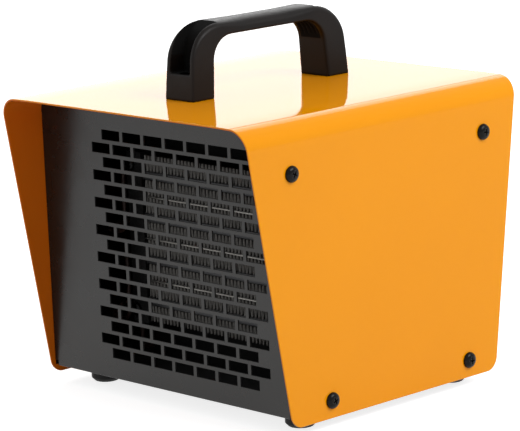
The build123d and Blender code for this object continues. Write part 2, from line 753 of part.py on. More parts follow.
# ================================================================ heating element
with BuildPart() as ptc_tubes:
    for z in unit_levels:
        with BuildSketch(facing_side(air_x - tube_half)) as tube_section:
            with Locations((tube_front + tube_depth / 2, z)):
                RectangleRounded(tube_depth, tube_height, tube_wall)
                Rectangle(tube_depth - 2 * tube_wall, tube_height - 2 * tube_wall, mode=Mode.SUBTRACT)
        extrude(amount=2 * tube_half)
finish(ptc_tubes, "ptc_tubes")

plate_half = fin_width / 2 + tube_bite / 2
with BuildPart() as ptc_joint_plates:
    for z in joint_levels:
        slab(air_x - plate_half, air_x + plate_half, tube_front, tube_front + tube_depth,
             z - joint_plate / 2, z + joint_plate / 2)
finish(ptc_joint_plates, "ptc_joint_plates")

fold_count = int((fin_width - fin_crest) // fin_pitch)
fold_start = air_x - fold_count * fin_pitch / 2
fin_levels = [z + k * (tube_height + fin_height) / 2 for z in unit_levels for k in (-1, 1)]


def fold_edge(z, shift):
    """One face of a folded strip: steep legs between flat crests; shift is the half sheet, up or down."""
    half_pitch = fin_pitch / 2
    low = z - fin_height / 2 + fin_sheet / 2
    high = z + fin_height / 2 - fin_sheet / 2
    points = []
    for n in range(fold_count):
        x = fold_start + n * fin_pitch
        points += [(x + shift, low + shift), (x + fin_crest - shift, low + shift),
                   (x + half_pitch - shift, high + shift), (x + half_pitch + fin_crest + shift, high + shift)]
    return points


with BuildPart() as ptc_fins:
    for z in fin_levels:
        with BuildSketch(facing_front(tube_front + tube_depth)):
            with BuildLine():
                Polyline(*(fold_edge(z, fin_sheet / 2) + fold_edge(z, -fin_sheet / 2)[::-1]), close=True)
            make_face()
        extrude(amount=tube_depth)
finish(ptc_fins, "ptc_fins")

stone_thickness = tube_height - 2 * tube_wall - 2 * electrode_thickness - 2 * element_fit / 2
stone_front = tube_front + (tube_depth - stone_depth) / 2
with BuildPart() as ptc_stones:
    for z in unit_levels:
        for n in range(stone_count):
            x = air_x + (n - (stone_count - 1) / 2) * stone_pitch
            slab(x - stone_length / 2, x + stone_length / 2, stone_front, stone_front + stone_depth,
                 z - stone_thickness / 2, z + stone_thickness / 2)
finish(ptc_stones, "ptc_stones")

tab_end = air_x - end_frame_outside - tab_length
tube_middle = tube_front + tube_depth / 2
with BuildPart() as ptc_electrodes:
    for z in unit_levels:
        for k in (-1, 1):
            inner = z + k * stone_thickness / 2
            low, high = sorted((inner, inner + k * electrode_thickness))
            slab(air_x - tube_half, air_x + fin_width / 2, stone_front, stone_front + stone_depth, low, high)
            y = tube_middle + k * tab_offset
            slab(tab_end, air_x - tube_half, y - tab_width / 2, y + tab_width / 2, low, high)
finish(ptc_electrodes, "ptc_electrodes")

end_half = element_half + end_frame_rise
with BuildPart() as ptc_end_frames:
    for i in (-1, 1):
        x0, x1 = sorted((air_x + i * fin_width / 2, air_x + i * end_frame_outside))
        slab(x0, x1, element_front, element_back, air_z - end_half, air_z + end_half)
        p0, p1 = sorted((air_x + i * (fin_width / 2 - past), air_x + i * (tube_half + element_fit)))
        for z in unit_levels:
            slab(p0, p1, tube_front - element_fit, tube_front + tube_depth + element_fit,
                 z - tube_height / 2 - element_fit, z + tube_height / 2 + element_fit, Mode.SUBTRACT)
        q0, q1 = sorted((air_x + i * (fin_width / 2 - past), air_x + i * (plate_half + element_fit)))
        for z in joint_levels:
            slab(q0, q1, tube_front - element_fit, tube_front + tube_depth + element_fit,
                 z - joint_plate / 2 - element_fit, z + joint_plate / 2 + element_fit, Mode.SUBTRACT)
    tab_room = tab_offset + tab_width / 2 + element_fit
    for z in unit_levels:
        slab(air_x - end_frame_outside - past, air_x - tube_half,
             tube_middle - tab_room, tube_middle + tab_room,
             z - tube_height / 2 + tube_wall, z + tube_height / 2 - tube_wall, Mode.SUBTRACT)
    holes_along_y(heater_holes, m4 + bolt_fit, element_front - past, element_back + past)
finish(ptc_end_frames, "ptc_end_frames")

# ================================================================ heater bracket
with BuildPart() as heater_bracket:
    slab(air_x - bracket_half, air_x + bracket_half, element_back, bracket_back,
         base_top, air_z + bracket_top_margin)
    slab(air_x - bracket_half, air_x + bracket_half, element_back, bracket_back + bracket_flange,
         base_top, base_top + bracket_sheet)
    slab(air_x - fin_width / 2, air_x + fin_width / 2, element_back - past, bracket_back + past,
         air_z - element_half, air_z + element_half, Mode.SUBTRACT)
    holes_along_y(heater_holes, m4 + bolt_fit, element_back - past, bracket_back + past)
    holes_along_z(base_bolts[3:], m4 + bolt_fit, base_top - past, base_top + bracket_sheet + past)
finish(heater_bracket, "heater_bracket")

heater_screw_length = end_frame_depth + bracket_sheet + duct_sheet + nut_height + thread_stand_out
with BuildPart() as heater_screws:
    for x, z in heater_holes:
        pan_screw(seat(x, element_front, z, (0, -1, 0)), plate_screw_radius, plate_screw_head,
                  m4, heater_screw_length)
finish(heater_screws, "heater_screws")

with BuildPart() as heater_nuts:
    for x, z in heater_holes:
        hex_nut(seat(x, bracket_back + duct_sheet, z, (0, 1, 0)), nut_width, nut_height, m4 + shaft_fit)
finish(heater_nuts, "heater_nuts")

# ================================================================ air duct
cutout_y = bracket_back + cutout_setback
cutout_z = air_z + cutout_rise
cutout_holes = [(cutout_y + i * cutout_screw_pitch / 2, cutout_z) for i in (-1, 1)]
with BuildPart() as air_duct:
    slab(air_x - duct_outside, air_x + duct_outside, bracket_back, fan_front,
         air_z - duct_outside, air_z + duct_outside)
    slab(air_x - duct_inside, air_x + duct_inside, bracket_back - past, fan_front - duct_sheet,
         air_z - duct_inside, air_z + duct_inside, Mode.SUBTRACT)
    for i in (-1, 1):
        lip = sorted((air_x + i * duct_outside, air_x + i * (heater_screw_x + duct_lip)))
        slab(*lip, bracket_back, bracket_back + duct_sheet, air_z - duct_outside, air_z + duct_outside)
    holes_along_y([(air_x, air_z)], fan_bore, fan_front - 2 * duct_sheet, fan_front + past)
    holes_along_y(fan_holes, m4 + bolt_fit, fan_front - 2 * duct_sheet, fan_front + past)
    holes_along_y(heater_holes, m4 + bolt_fit, bracket_back - past, bracket_back + 2 * duct_sheet)
    with BuildSketch(facing_side(air_x - duct_outside - past)):
        with Locations(*cutout_holes):
            Circle(m3 + bolt_fit)
    extrude(amount=duct_sheet + 2 * past, mode=Mode.SUBTRACT)
finish(air_duct, "air_duct")

# ================================================================ fan
with BuildPart() as fan_frame:
    for y in (fan_front + fan_flange, fan_back):
        with BuildSketch(facing_front(y)):
            with Locations((air_x, air_z)):
                RectangleRounded(fan_size, fan_size, fan_corner)
        extrude(amount=fan_flange)
    disc(seat(air_x, fan_front, air_z, (0, 1, 0)), fan_bore + fan_wall, fan_depth)
    disc(seat(air_x, fan_front - past, air_z, (0, 1, 0)), fan_bore, fan_depth + 2 * past, Mode.SUBTRACT)
    with BuildSketch(facing_front(motor_base_back)):
        with Locations((air_x, air_z)):
            Circle(motor_base_radius)
            Rectangle(2 * fan_bore + fan_wall, strut_width)
            Rectangle(strut_width, 2 * fan_bore + fan_wall)
    extrude(amount=motor_base_thickness)
    disc(seat(air_x, fan_front, air_z, (0, 1, 0)), bearing_tube_radius,
         motor_base_thickness + bearing_tube_length)
    disc(seat(air_x, fan_front - past, air_z, (0, 1, 0)), bearing_radius,
         motor_base_thickness + bearing_tube_length + 2 * past, Mode.SUBTRACT)
    holes_along_y(fan_holes, m4 + bolt_fit, fan_front - past, fan_back + past)
finish(fan_frame, "fan_frame")

stator_start = motor_base_back + winding_height + hub_start_gap
with BuildPart() as fan_stator:
    with BuildSketch(facing_front(stator_start + stator_length)) as lamination:
        with Locations((air_x, air_z)):
            Circle(stator_radius)
            Circle(bearing_tube_radius + shaft_fit, mode=Mode.SUBTRACT)
        with Locations((air_x, air_z)):
            with PolarLocations((stator_radius + winding_radius) / 2, stator_poles):
                Rectangle(stator_radius - winding_radius + stator_slot, stator_slot, mode=Mode.SUBTRACT)
    extrude(amount=stator_length)
finish(fan_stator, "fan_stator")

with BuildPart() as fan_windings:
    for y in (stator_start - winding_height, stator_start + stator_length):
        place = seat(air_x, y, air_z, (0, 1, 0))
        inner = bearing_tube_radius + winding_gap
        outer = winding_radius
        turned(place, [(inner, winding_round), (inner + winding_round, 0), (outer - winding_round, 0),
                       (outer, winding_round), (outer, winding_height - winding_round),
                       (outer - winding_round, winding_height), (inner + winding_round, winding_height),
                       (inner, winding_height - winding_round)])
finish(fan_windings, "fan_windings")

with BuildPart() as fan_bearings:
    for y in bearing_starts:
        ring(seat(air_x, y, air_z, (0, 1, 0)), bearing_radius - bearing_fit, shaft_radius + shaft_fit,
             bearing_width)
finish(fan_bearings, "fan_bearings")

shaft_front = fan_front + shaft_sink
with BuildPart() as fan_shaft:
    disc(seat(air_x, shaft_front, air_z, (0, 1, 0)), shaft_radius, shaft_back - shaft_front)
    chamfer(fan_shaft.edges().filter_by(GeomType.CIRCLE), shaft_chamfer)
finish(fan_shaft, "fan_shaft")

clip_start = bearing_starts[0] - clip_thickness - clip_gap
with BuildPart() as fan_shaft_clip:
    ring(seat(air_x, clip_start, air_z, (0, 1, 0)), clip_radius, shaft_radius + shaft_fit, clip_thickness)
finish(fan_shaft_clip, "fan_shaft_clip")

rotor_outer = hub_inside - shaft_fit
with BuildPart() as fan_rotor:
    ring(seat(air_x, hub_front, air_z, (0, 1, 0)), rotor_outer, rotor_outer - rotor_wall, rotor_length)
finish(fan_rotor, "fan_rotor")

blade_span = hub_back - hub_front - 2 * blade_margin
blade_middle = (hub_front + hub_back) / 2
blade_root = hub_inside - blade_sink
blade_tip = fan_bore - blade_tip_gap


def blade_section(radius, chord, angle):
    """A curved blade section on a plane square to the blade's length, at a radius from the shaft."""
    place = Plane(origin=(air_x, blade_middle, air_z + radius), x_dir=(1, 0, 0), z_dir=(0, 0, 1))
    camber = chord * blade_camber
    half = chord / 2
    with BuildSketch(place.rotated((0, 0, angle))) as section:
        with BuildLine():
            upper = ThreePointArc((-half, 0), (0, camber + blade_thickness / 2), (half, 0))
            lower = ThreePointArc((-half, 0), (0, camber - blade_thickness / 2), (half, 0))
        make_face()
    return section.sketch


with BuildPart() as single_blade:
    loft([blade_section(blade_root, blade_root_chord, blade_root_angle),
          blade_section(blade_tip + past, blade_tip_chord, blade_tip_angle)], ruled=True)

fan_axis = Axis((air_x, 0, air_z), (0, 1, 0))
with BuildPart() as fan_impeller:
    for n in range(blade_count):
        add(single_blade.part.rotate(fan_axis, 360 * n / blade_count))
    disc(seat(air_x, blade_middle - blade_span / 2, air_z, (0, 1, 0)), blade_tip, blade_span, Mode.INTERSECT)
    disc(seat(air_x, hub_front, air_z, (0, 1, 0)), hub_radius, hub_back - hub_front)
    disc(seat(air_x, hub_front - past, air_z, (0, 1, 0)), hub_inside, hub_back - hub_end - hub_front + past,
         Mode.SUBTRACT)
    disc(seat(air_x, boss_front, air_z, (0, 1, 0)), hub_boss, hub_back - hub_end - boss_front)
    disc(seat(air_x, boss_front - past, air_z, (0, 1, 0)), shaft_radius + hub_fit,
         shaft_back - boss_front + past, Mode.SUBTRACT)
finish(fan_impeller, "fan_impeller")

fan_screw_length = chassis_sheet + fan_depth + duct_sheet + nut_height + thread_stand_out
with BuildPart() as fan_screws:
    for x, z in fan_holes:
        pan_screw(seat(x, rear_panel_face, z, (0, 1, 0)), plate_screw_radius, plate_screw_head,
                  m4, fan_screw_length)
finish(fan_screws, "fan_screws")

with BuildPart() as fan_nuts:
    for x, z in fan_holes:
        hex_nut(seat(x, fan_front - duct_sheet, z, (0, -1, 0)), nut_width, nut_height, m4 + shaft_fit)
finish(fan_nuts, "fan_nuts")


# ================================================================ controls
def spindle(z):
    """A flatted spindle from inside a switch to inside its knob."""
    start = rear_panel_back - spindle_bore_depth
    disc(seat(bay_x, start, z, (0, 1, 0)), spindle_radius, rear_panel_face + spindle_reach - start)
    slab(bay_x - spindle_radius, bay_x + spindle_radius,
         knob_front - past, rear_panel_face + spindle_reach + past,
         z + spindle_radius - spindle_flat, z + spindle_radius + past, Mode.SUBTRACT)


def knob(z):
    """A round skirt with a straight grip bar across it, pointing up, and a flatted socket."""
    turned(seat(bay_x, knob_front, z, (0, 1, 0)), [
        (0, 0), (knob_radius, 0), (knob_radius, knob_skirt - knob_round),
        (knob_radius - knob_round, knob_skirt), (0, knob_skirt)])
    with BuildSketch(facing_front(knob_front + knob_height)) as grip:
        with Locations((bay_x, z)):
            SlotOverall(2 * knob_radius - knob_round, knob_grip, rotation=90)
    extrude(grip.sketch, amount=knob_height - knob_skirt)
    with BuildSketch(facing_front(knob_front + knob_height)) as line:
        with Locations((bay_x, z + knob_radius - knob_round - knob_line_length / 2)):
            Rectangle(knob_line, knob_line_length)
    extrude(line.sketch, amount=knob_line_depth, mode=Mode.SUBTRACT)
    with BuildSketch(facing_front(knob_front + knob_socket)) as socket:
        with Locations((bay_x, z)):
            Circle(spindle_radius + spindle_fit)
        with Locations((bay_x, z + 2 * spindle_radius - spindle_flat + spindle_fit)):
            Rectangle(3 * spindle_radius, 2 * spindle_radius, mode=Mode.SUBTRACT)
    extrude(socket.sketch, amount=knob_socket + past, mode=Mode.SUBTRACT)


def blade_tab(x, y, z):
    """A blade terminal that stands forward from a body's face at depth y."""
    slab(x - tab_thickness / 2, x + tab_thickness / 2, y - tab_length, y,
         z - tab_width / 2, z + tab_width / 2)


def control_screw(x, z):
    """A small screw from outside through the rear panel into a control's body."""
    pan_screw(seat(x, rear_panel_face, z, (0, 1, 0)), small_head_radius, small_head, m3, small_screw_length)


with BuildPart() as selector_switch:
    with BuildSketch(facing_front(rear_panel_back)):
        with Locations((bay_x, selector_height)):
            RectangleRounded(switch_size, switch_size, switch_corner)
    extrude(amount=switch_depth)
    holes_along_y([(bay_x, selector_height)], spindle_radius + spindle_fit,
                  rear_panel_back - spindle_bore_depth - spindle_end_gap, rear_panel_back + past)
    holes_along_y(control_screws["selector"], m3 + bolt_fit,
                  rear_panel_back - small_screw_length, rear_panel_back + past)
finish(selector_switch, "selector_switch")

selector_tabs = [
    (bay_x + i * selector_tab_side, selector_height + k * selector_tab_rise) for i in (-1, 1) for k in (-1, 1)
]
selector_tabs += [(bay_x, selector_height)]
with BuildPart() as selector_terminals:
    for x, z in selector_tabs:
        blade_tab(x, rear_panel_back - switch_depth, z)
finish(selector_terminals, "selector_terminals")

with BuildPart() as selector_spindle:
    spindle(selector_height)
finish(selector_spindle, "selector_spindle")

with BuildPart() as selector_knob:
    knob(selector_height)
finish(selector_knob, "selector_knob")

with BuildPart() as selector_screws:
    for x, z in control_screws["selector"]:
        control_screw(x, z)
finish(selector_screws, "selector_screws")

thermostat_body_front = rear_panel_back - thermostat_depth
thermostat_tab_x = thermostat_side - thermostat_tab_inset
with BuildPart() as thermostat_body:
    with BuildSketch(facing_front(rear_panel_back)):
        with Locations((bay_x, thermostat_height)):
            RectangleRounded(thermostat_width, thermostat_rise, switch_corner)
    extrude(amount=thermostat_depth)
    with BuildSketch(facing_front(thermostat_body_front)):
        with Locations((bay_x - thermostat_width / 2 + bimetal_pad / 2 + past, thermostat_height)):
            Rectangle(bimetal_pad, bimetal_width + 2 * past)
    extrude(amount=bimetal_stand)
    holes_along_y([(bay_x, thermostat_height)], spindle_radius + spindle_fit,
                  rear_panel_back - spindle_bore_depth - spindle_end_gap, rear_panel_back + past)
    holes_along_y(control_screws["thermostat"], m3 + bolt_fit,
                  rear_panel_back - small_screw_length, rear_panel_back + past)
finish(thermostat_body, "thermostat_body")

with BuildPart() as thermostat_bimetal:
    y = thermostat_body_front - bimetal_stand
    slab(bay_x - thermostat_width / 2 + past, thermostat_side - bimetal_inset, y - bimetal_thickness, y,
         thermostat_height - bimetal_width / 2, thermostat_height + bimetal_width / 2)
    contact = seat(thermostat_side - contact_inset, y, thermostat_height, (0, 1, 0))
    disc(contact, contact_radius, bimetal_stand)
finish(thermostat_bimetal, "thermostat_bimetal")

with BuildPart() as thermostat_terminals:
    for k in (-1, 1):
        blade_tab(thermostat_tab_x, thermostat_body_front, thermostat_height + k * thermostat_tab_rise)
finish(thermostat_terminals, "thermostat_terminals")

thermostat_axis = Axis((bay_x, 0, thermostat_height), (0, -1, 0))
with BuildPart() as upright_thermostat_spindle:
    spindle(thermostat_height)
with BuildPart() as thermostat_spindle:
    add(upright_thermostat_spindle.part.rotate(thermostat_axis, thermostat_rest_turn))
finish(thermostat_spindle, "thermostat_spindle")

with BuildPart() as upright_thermostat_knob:
    knob(thermostat_height)
with BuildPart() as thermostat_knob:
    add(upright_thermostat_knob.part.rotate(thermostat_axis, thermostat_rest_turn))
finish(thermostat_knob, "thermostat_knob")

with BuildPart() as thermostat_screws:
    for x, z in control_screws["thermostat"]:
        control_screw(x, z)
finish(thermostat_screws, "thermostat_screws")

# ================================================================ overheat cut-out on the duct
cutout_x = air_x - duct_outside
with BuildPart() as overheat_cutout:
    with BuildSketch(facing_side(cutout_x)):
        with Locations((cutout_y, cutout_z)):
            SlotOverall(cutout_screw_pitch + cutout_ear, cutout_ear)
            Circle(cutout_radius + cutout_plate)
    extrude(amount=-cutout_plate)
    disc(seat(cutout_x, cutout_y, cutout_z, (-1, 0, 0)), cutout_radius, cutout_height)
    with BuildSketch(facing_side(cutout_x + past)):
        with Locations(*cutout_holes):
            Circle(m3 + bolt_fit)
    extrude(amount=-cutout_plate - 2 * past, mode=Mode.SUBTRACT)
finish(overheat_cutout, "overheat_cutout")

with BuildPart() as cutout_terminals:
    for k in (-1, 1):
        z = cutout_z + k * cutout_tab_rise
        slab(cutout_x - cutout_height - tab_length, cutout_x - cutout_height,
             cutout_y - tab_width / 2, cutout_y + tab_width / 2, z - tab_thickness / 2, z + tab_thickness / 2)
finish(cutout_terminals, "cutout_terminals")

with BuildPart() as cutout_screws:
    for y, z in cutout_holes:
        pan_screw(seat(cutout_x - cutout_plate, y, z, (-1, 0, 0)), small_head_radius, small_head, m3,
                  cutout_plate + duct_sheet + cutout_screw_stand)
finish(cutout_screws, "cutout_screws")

# ================================================================ terminal block and earth
clamp_ys = (block_y - block_depth / 4, block_y + block_depth / 4)
wire_z = base_top + wire_rise
clamp_top = base_top + block_height
clamp_seat = clamp_top - clamp_sink
with BuildPart() as terminal_block:
    slab(bay_x - block_width / 2, bay_x + block_width / 2,
         block_y - block_depth / 2, block_y + block_depth / 2, base_top, clamp_top)
    holes_along_y([(x, wire_z) for x in pole_xs], wire_hole, block_y - block_depth, block_y + block_depth)
    holes_along_z([(x, y) for x in pole_xs for y in clamp_ys], clamp_screw_radius + bolt_fit,
                  wire_z, clamp_top + past)
    holes_along_z(block_screw_places, m3 + bolt_fit, base_top - past, clamp_top + past)
finish(terminal_block, "terminal_block")

with BuildPart() as clamp_screws:
    for x in pole_xs:
        for y in clamp_ys:
            disc(upright(x, y, clamp_seat - clamp_screw_length),
                 clamp_screw_radius, clamp_screw_length)
            with BuildSketch(upright(x, y, clamp_seat)):
                Rectangle(2 * clamp_screw_radius, clamp_slot)
            extrude(amount=-clamp_slot, mode=Mode.SUBTRACT)
finish(clamp_screws, "clamp_screws")

with BuildPart() as block_screws:
    for x, y in block_screw_places:
        pan_screw(seat(x, y, clamp_top, (0, 0, 1)), block_head_radius, small_head, m3,
                  block_height + chassis_sheet + thread_stand_out)
finish(block_screws, "block_screws")

earth_length = chassis_sheet + 2 * nut_height + earth_lug + 2 * thread_stand_out
with BuildPart() as earth_stud:
    pan_screw(seat(earth_x, earth_y, base_under, (0, 0, -1)), plate_screw_radius, plate_screw_head,
              m4, earth_length)
finish(earth_stud, "earth_stud")

with BuildPart() as earth_nuts:
    for n in range(2):
        hex_nut(upright(earth_x, earth_y, base_top + n * (nut_height + earth_lug)),
                nut_width, nut_height, m4 + shaft_fit)
finish(earth_nuts, "earth_nuts")


# ================================================================ cord gland
def gland_seat(y):
    """A plane square to the gland's axis, looking out of the back."""
    return seat(bay_x, y, gland_height, (0, 1, 0))


nose_start = rear_panel_face + gland_flange
cap_start = nose_start + cap_gap
cap_end = cap_start + gland_cap_length
seal_start = nose_start + gland_nose + element_fit
with BuildPart() as gland_body:
    with BuildSketch(gland_seat(rear_panel_face)):
        RegularPolygon(gland_hex / 2, 6, major_radius=False)
    extrude(amount=gland_flange)
    disc(gland_seat(rear_panel_back - gland_inner_length), gland_thread, gland_inner_length + chassis_sheet)
    disc(gland_seat(nose_start), nose_radius, gland_nose)
    disc(gland_seat(rear_panel_back - gland_inner_length - past), gland_bore,
         gland_inner_length + chassis_sheet + gland_flange + gland_nose + 2 * past, Mode.SUBTRACT)
finish(gland_body, "gland_body")

seal_end = cap_end - cap_wall - element_fit
with BuildPart() as gland_seal:
    ring(gland_seat(seal_start), seal_radius, seal_bore, seal_end - seal_start)
finish(gland_seal, "gland_seal")

with BuildPart() as gland_cap:
    with BuildSketch(gland_seat(cap_start)):
        RegularPolygon(gland_hex / 2, 6, major_radius=False)
    extrude(amount=cap_hex_length)
    turned(gland_seat(cap_start), [(0, 0), (cap_radius, 0), (cap_radius, gland_cap_length - cap_taper),
                                   (cap_radius - cap_taper / 2, gland_cap_length), (0, gland_cap_length)])
    disc(gland_seat(cap_start - past), nose_radius + bolt_fit, gland_cap_length - cap_wall + past,
         Mode.SUBTRACT)
    disc(gland_seat(cap_start), gland_bore, gland_cap_length + past, Mode.SUBTRACT)
finish(gland_cap, "gland_cap")

with BuildPart() as gland_locknut:
    with BuildSketch(gland_seat(rear_panel_back)):
        RegularPolygon(gland_nut_width / 2, 6, major_radius=False)
        Circle(gland_thread + shaft_fit, mode=Mode.SUBTRACT)
    extrude(amount=-gland_nut_height)
finish(gland_locknut, "gland_locknut")

# ================================================================ wires of the electrical bay
def wire(points, bend=wire_bend):
    """One insulated wire: straight runs joined by arcs, from terminal to terminal."""
    with BuildLine() as route:
        if len(points) > 2:
            FilletPolyline(*points, radius=bend)
        else:
            Line(*points)
    path = route.wire()
    with BuildSketch(Plane(origin=path @ 0, z_dir=path % 0)) as section:
        Circle(wire_radius)
    sweep(section.sketch, path=path)
    wire_lengths.append(path.length)


wire_lengths = []
bus_x = tab_end - wire_radius
upper_bus_foot = (unit_levels[1] + unit_levels[2]) / 2
lower_bus_foot = unit_levels[0] - lane_rise
bus_y = {k: tube_middle + k * tab_offset for k in (-1, 1)}
wire_end_y = block_y - block_depth / 2 + wire_reach
tab_tip_y = rear_panel_back - switch_depth - tab_length
cutout_tip_x = cutout_x - cutout_height - tab_length
thermostat_tip_y = thermostat_body_front - tab_length
fan_side = air_x - fan_size / 2
live_lane = bay_x - lane_outer
lead_x = (fan_side + bay_x + selector_tab_side) / 2
lead_y = fan_front + fan_flange / 2
upper_tab_z = selector_height + selector_tab_rise
with BuildPart() as internal_wires:
    # live: block, cut-out, thermostat, selector
    low_tab, high_tab = cutout_z - cutout_tab_rise, cutout_z + cutout_tab_rise
    wire([(live_x, wire_end_y, wire_z), (live_x, block_y - block_depth, wire_z),
          (live_lane, earth_y, wire_z + lane_rise), (live_lane, earth_y, low_tab),
          (live_lane, cutout_y, low_tab), (cutout_tip_x, cutout_y, low_tab)])
    wire([(cutout_tip_x, cutout_y, high_tab), (bay_x - tab_offset, cutout_y, high_tab),
          (bay_x - tab_offset, thermostat_tip_y - lane_rise, high_tab),
          (thermostat_tab_x, thermostat_tip_y - lane_rise, high_tab),
          (thermostat_tab_x, thermostat_tip_y, high_tab)])
    upper_tab = thermostat_height + thermostat_tab_rise
    feed_y = tab_tip_y - lane_rise
    wire([(thermostat_tab_x, thermostat_tip_y, upper_tab), (thermostat_tab_x, feed_y, upper_tab),
          (bay_x, feed_y, upper_tab), (bay_x, feed_y, selector_height), (bay_x, tab_tip_y, selector_height)])
    # switched: selector to the upper and the lower pair of units
    for foot, head, tab_z in ((upper_bus_foot, unit_levels[3], upper_tab_z),
                              (lower_bus_foot, unit_levels[1], selector_height - selector_tab_rise)):
        wire([(bus_x, bus_y[-1], head), (bus_x, bus_y[-1], foot),
              (bay_x - selector_tab_side, bus_y[-1], foot),
              (bay_x - selector_tab_side, tab_tip_y - lane_rise, tab_z),
              (bay_x - selector_tab_side, tab_tip_y, tab_z)])
    # neutral: all four units to the block
    wire([(bus_x, bus_y[1], unit_levels[3] + tube_height), (bus_x, bus_y[1], wire_z),
          (neutral_x, wire_end_y, wire_z)])
    # fan leads, from the side of its front flange: one to the selector and one to the block's rear
    wire([(fan_side, lead_y, upper_tab_z), (lead_x, lead_y, upper_tab_z), (lead_x, feed_y, upper_tab_z),
          (bay_x + selector_tab_side, feed_y, upper_tab_z),
          (bay_x + selector_tab_side, tab_tip_y, upper_tab_z)], tight_bend)
    wire([(fan_side, lead_y, neutral_lead_z), (neutral_x, lead_y, neutral_lead_z),
          (neutral_x, block_y + block_depth, neutral_lead_z - lane_rise),
          (neutral_x, block_y + block_depth, wire_z),
          (neutral_x, block_y + block_depth / 2 - wire_reach / 2, wire_z)])
    # earth: a ring lug between the stud's nuts
    lug_z = base_top + nut_height
    lug_end = earth_y + 2 * lug_radius
    ring(upright(earth_x, earth_y, lug_z), lug_radius, m4 + bolt_fit, earth_lug)
    slab(earth_x - wire_radius, earth_x + wire_radius,
         earth_y + nut_width / 2, lug_end, lug_z, lug_z + earth_lug)
    wire([(earth_x, lug_end, wire_z), (earth_x, wire_end_y, wire_z)])
    slab(earth_x - wire_radius, earth_x + wire_radius, lug_end - earth_lug, lug_end, lug_z, wire_z)
finish(internal_wires, "internal_wires")
print("wires", [round(length) for length in wire_lengths])

# ================================================================ writing
for piece in parts:
    export_step(piece, f"parts/{piece.label}.step")
print(len(parts), "pieces; slot rows", row_count, "by", long_row)
print("air axis", round(air_x, 2), round(air_z, 2), "; controls at", round(bay_x, 2))
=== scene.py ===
# %% [markdown]
# # A forced air heater, dressed for its photograph
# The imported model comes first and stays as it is: every solid is already in its place, in metres.
# What follows gives it skin: sheet metal with rolled edges, enamel, grained plastic, folded fins.
# A piece of the scene either stands for a solid or the solid stays and only gets a finish.

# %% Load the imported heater
import json
import math
from functools import partial

import bmesh
import bpy
from mathutils import Matrix, Vector


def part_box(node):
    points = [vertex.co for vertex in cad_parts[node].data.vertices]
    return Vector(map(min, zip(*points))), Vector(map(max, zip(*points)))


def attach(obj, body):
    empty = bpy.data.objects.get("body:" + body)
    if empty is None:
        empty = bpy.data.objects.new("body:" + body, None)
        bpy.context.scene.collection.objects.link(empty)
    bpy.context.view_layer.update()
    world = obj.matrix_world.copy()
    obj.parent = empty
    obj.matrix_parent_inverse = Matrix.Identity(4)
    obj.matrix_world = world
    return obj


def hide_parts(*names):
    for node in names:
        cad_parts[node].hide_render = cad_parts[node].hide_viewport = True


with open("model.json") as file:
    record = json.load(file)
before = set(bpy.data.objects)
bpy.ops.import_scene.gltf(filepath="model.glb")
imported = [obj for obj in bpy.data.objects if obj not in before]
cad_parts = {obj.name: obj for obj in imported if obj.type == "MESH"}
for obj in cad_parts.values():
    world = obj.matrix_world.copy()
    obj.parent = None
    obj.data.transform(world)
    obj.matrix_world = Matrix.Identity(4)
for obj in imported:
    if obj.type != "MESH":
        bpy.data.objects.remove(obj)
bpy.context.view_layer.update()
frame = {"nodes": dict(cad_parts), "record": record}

nodes = frame["nodes"]

# %% [markdown]
# ## The camera
# A long lens from a little above: the slotted front is seen to the left and the raked side to the
# right. The place and the turns were worked out from the straight edges of the casing, so the
# drawing of the heater falls on the same lines as in the photograph. The small roll is the
# photographer's.

# %% Set the camera
camera_place = Vector((1.214416, -1.147825, 0.438062))
yaw, pitch, roll = (math.radians(angle) for angle in (46.674, -11.518, -2.414))

ahead = Vector((-math.sin(yaw) * math.cos(pitch), math.cos(yaw) * math.cos(pitch), math.sin(pitch)))
across = ahead.cross(Vector((0, 0, 1))).normalized()
above = across.cross(ahead)
across, above = (across * math.cos(roll) + above * math.sin(roll), above * math.cos(roll) - across * math.sin(roll))

lens = bpy.data.cameras.new("camera")
lens.lens = 207.85
lens.sensor_width = 36.0
lens.sensor_fit = "HORIZONTAL"
lens.clip_start = 0.05
lens.clip_end = 60.0
camera = bpy.data.objects.new("camera", lens)
turn = Matrix((across, above, -ahead)).transposed().to_4x4()
camera.matrix_world = Matrix.Translation(camera_place) @ turn
bpy.context.scene.collection.objects.link(camera)
bpy.context.scene.camera = camera
bpy.context.scene.view_settings.view_transform = "Standard"
print("camera at", [round(value, 2) for value in camera_place])

# %% [markdown]
# ## Small helpers for node trees
# Materials and Geometry Nodes are both trees of nodes. One helper adds a node, sets its options
# and fills its inputs, either with a number or with the output of another node. With it a tree
# reads from top to bottom like a recipe.

# %% Helpers for nodes
def put(tree, kind, options=None, inputs=None):
    """Adds a node. Options are its settings; inputs are filled by name or by number."""
    node = tree.nodes.new(kind)
    for name, value in (options or {}).items():
        setattr(node, name, value)
    for name, value in (inputs or {}).items():
        if isinstance(value, bpy.types.NodeSocket):
            tree.links.new(value, node.inputs[name])
        else:
            node.inputs[name].default_value = value
    return node


def first(tree, kind, options=None, inputs=None):
    """Adds a node and gives its first output."""
    return put(tree, kind, options, inputs).outputs[0]


def calc(tree, operation, *values):
    """A sum, product or comparison of numbers or outputs."""
    return first(tree, "ShaderNodeMath", {"operation": operation}, dict(enumerate(values)))


def tools(tree):
    """The three helpers with the tree filled in, for a tree that is laid out at length."""
    return (partial(helper, tree) for helper in (put, first, calc))


# %% [markdown]
# ## Floor, world and lamps
# The photograph is a plain studio shot on white. The floor is one large pale sheet. Only for the
# camera, and for what a glossy surface mirrors, does it add some glow, so it reads as white while
# the heater's soft shadow stays on it. The world does the same: white to look at, dimmer as light.
# A big lamp shines on the side from the right and a weak one on the front. Two stand behind, one
# above the other: the flat top mirrors the low one, the bend mirrors the high one, and the gap
# between them is a fine dark line where the top begins to curve.

# %% Lay the floor
FLOOR_SIZE = 30.0

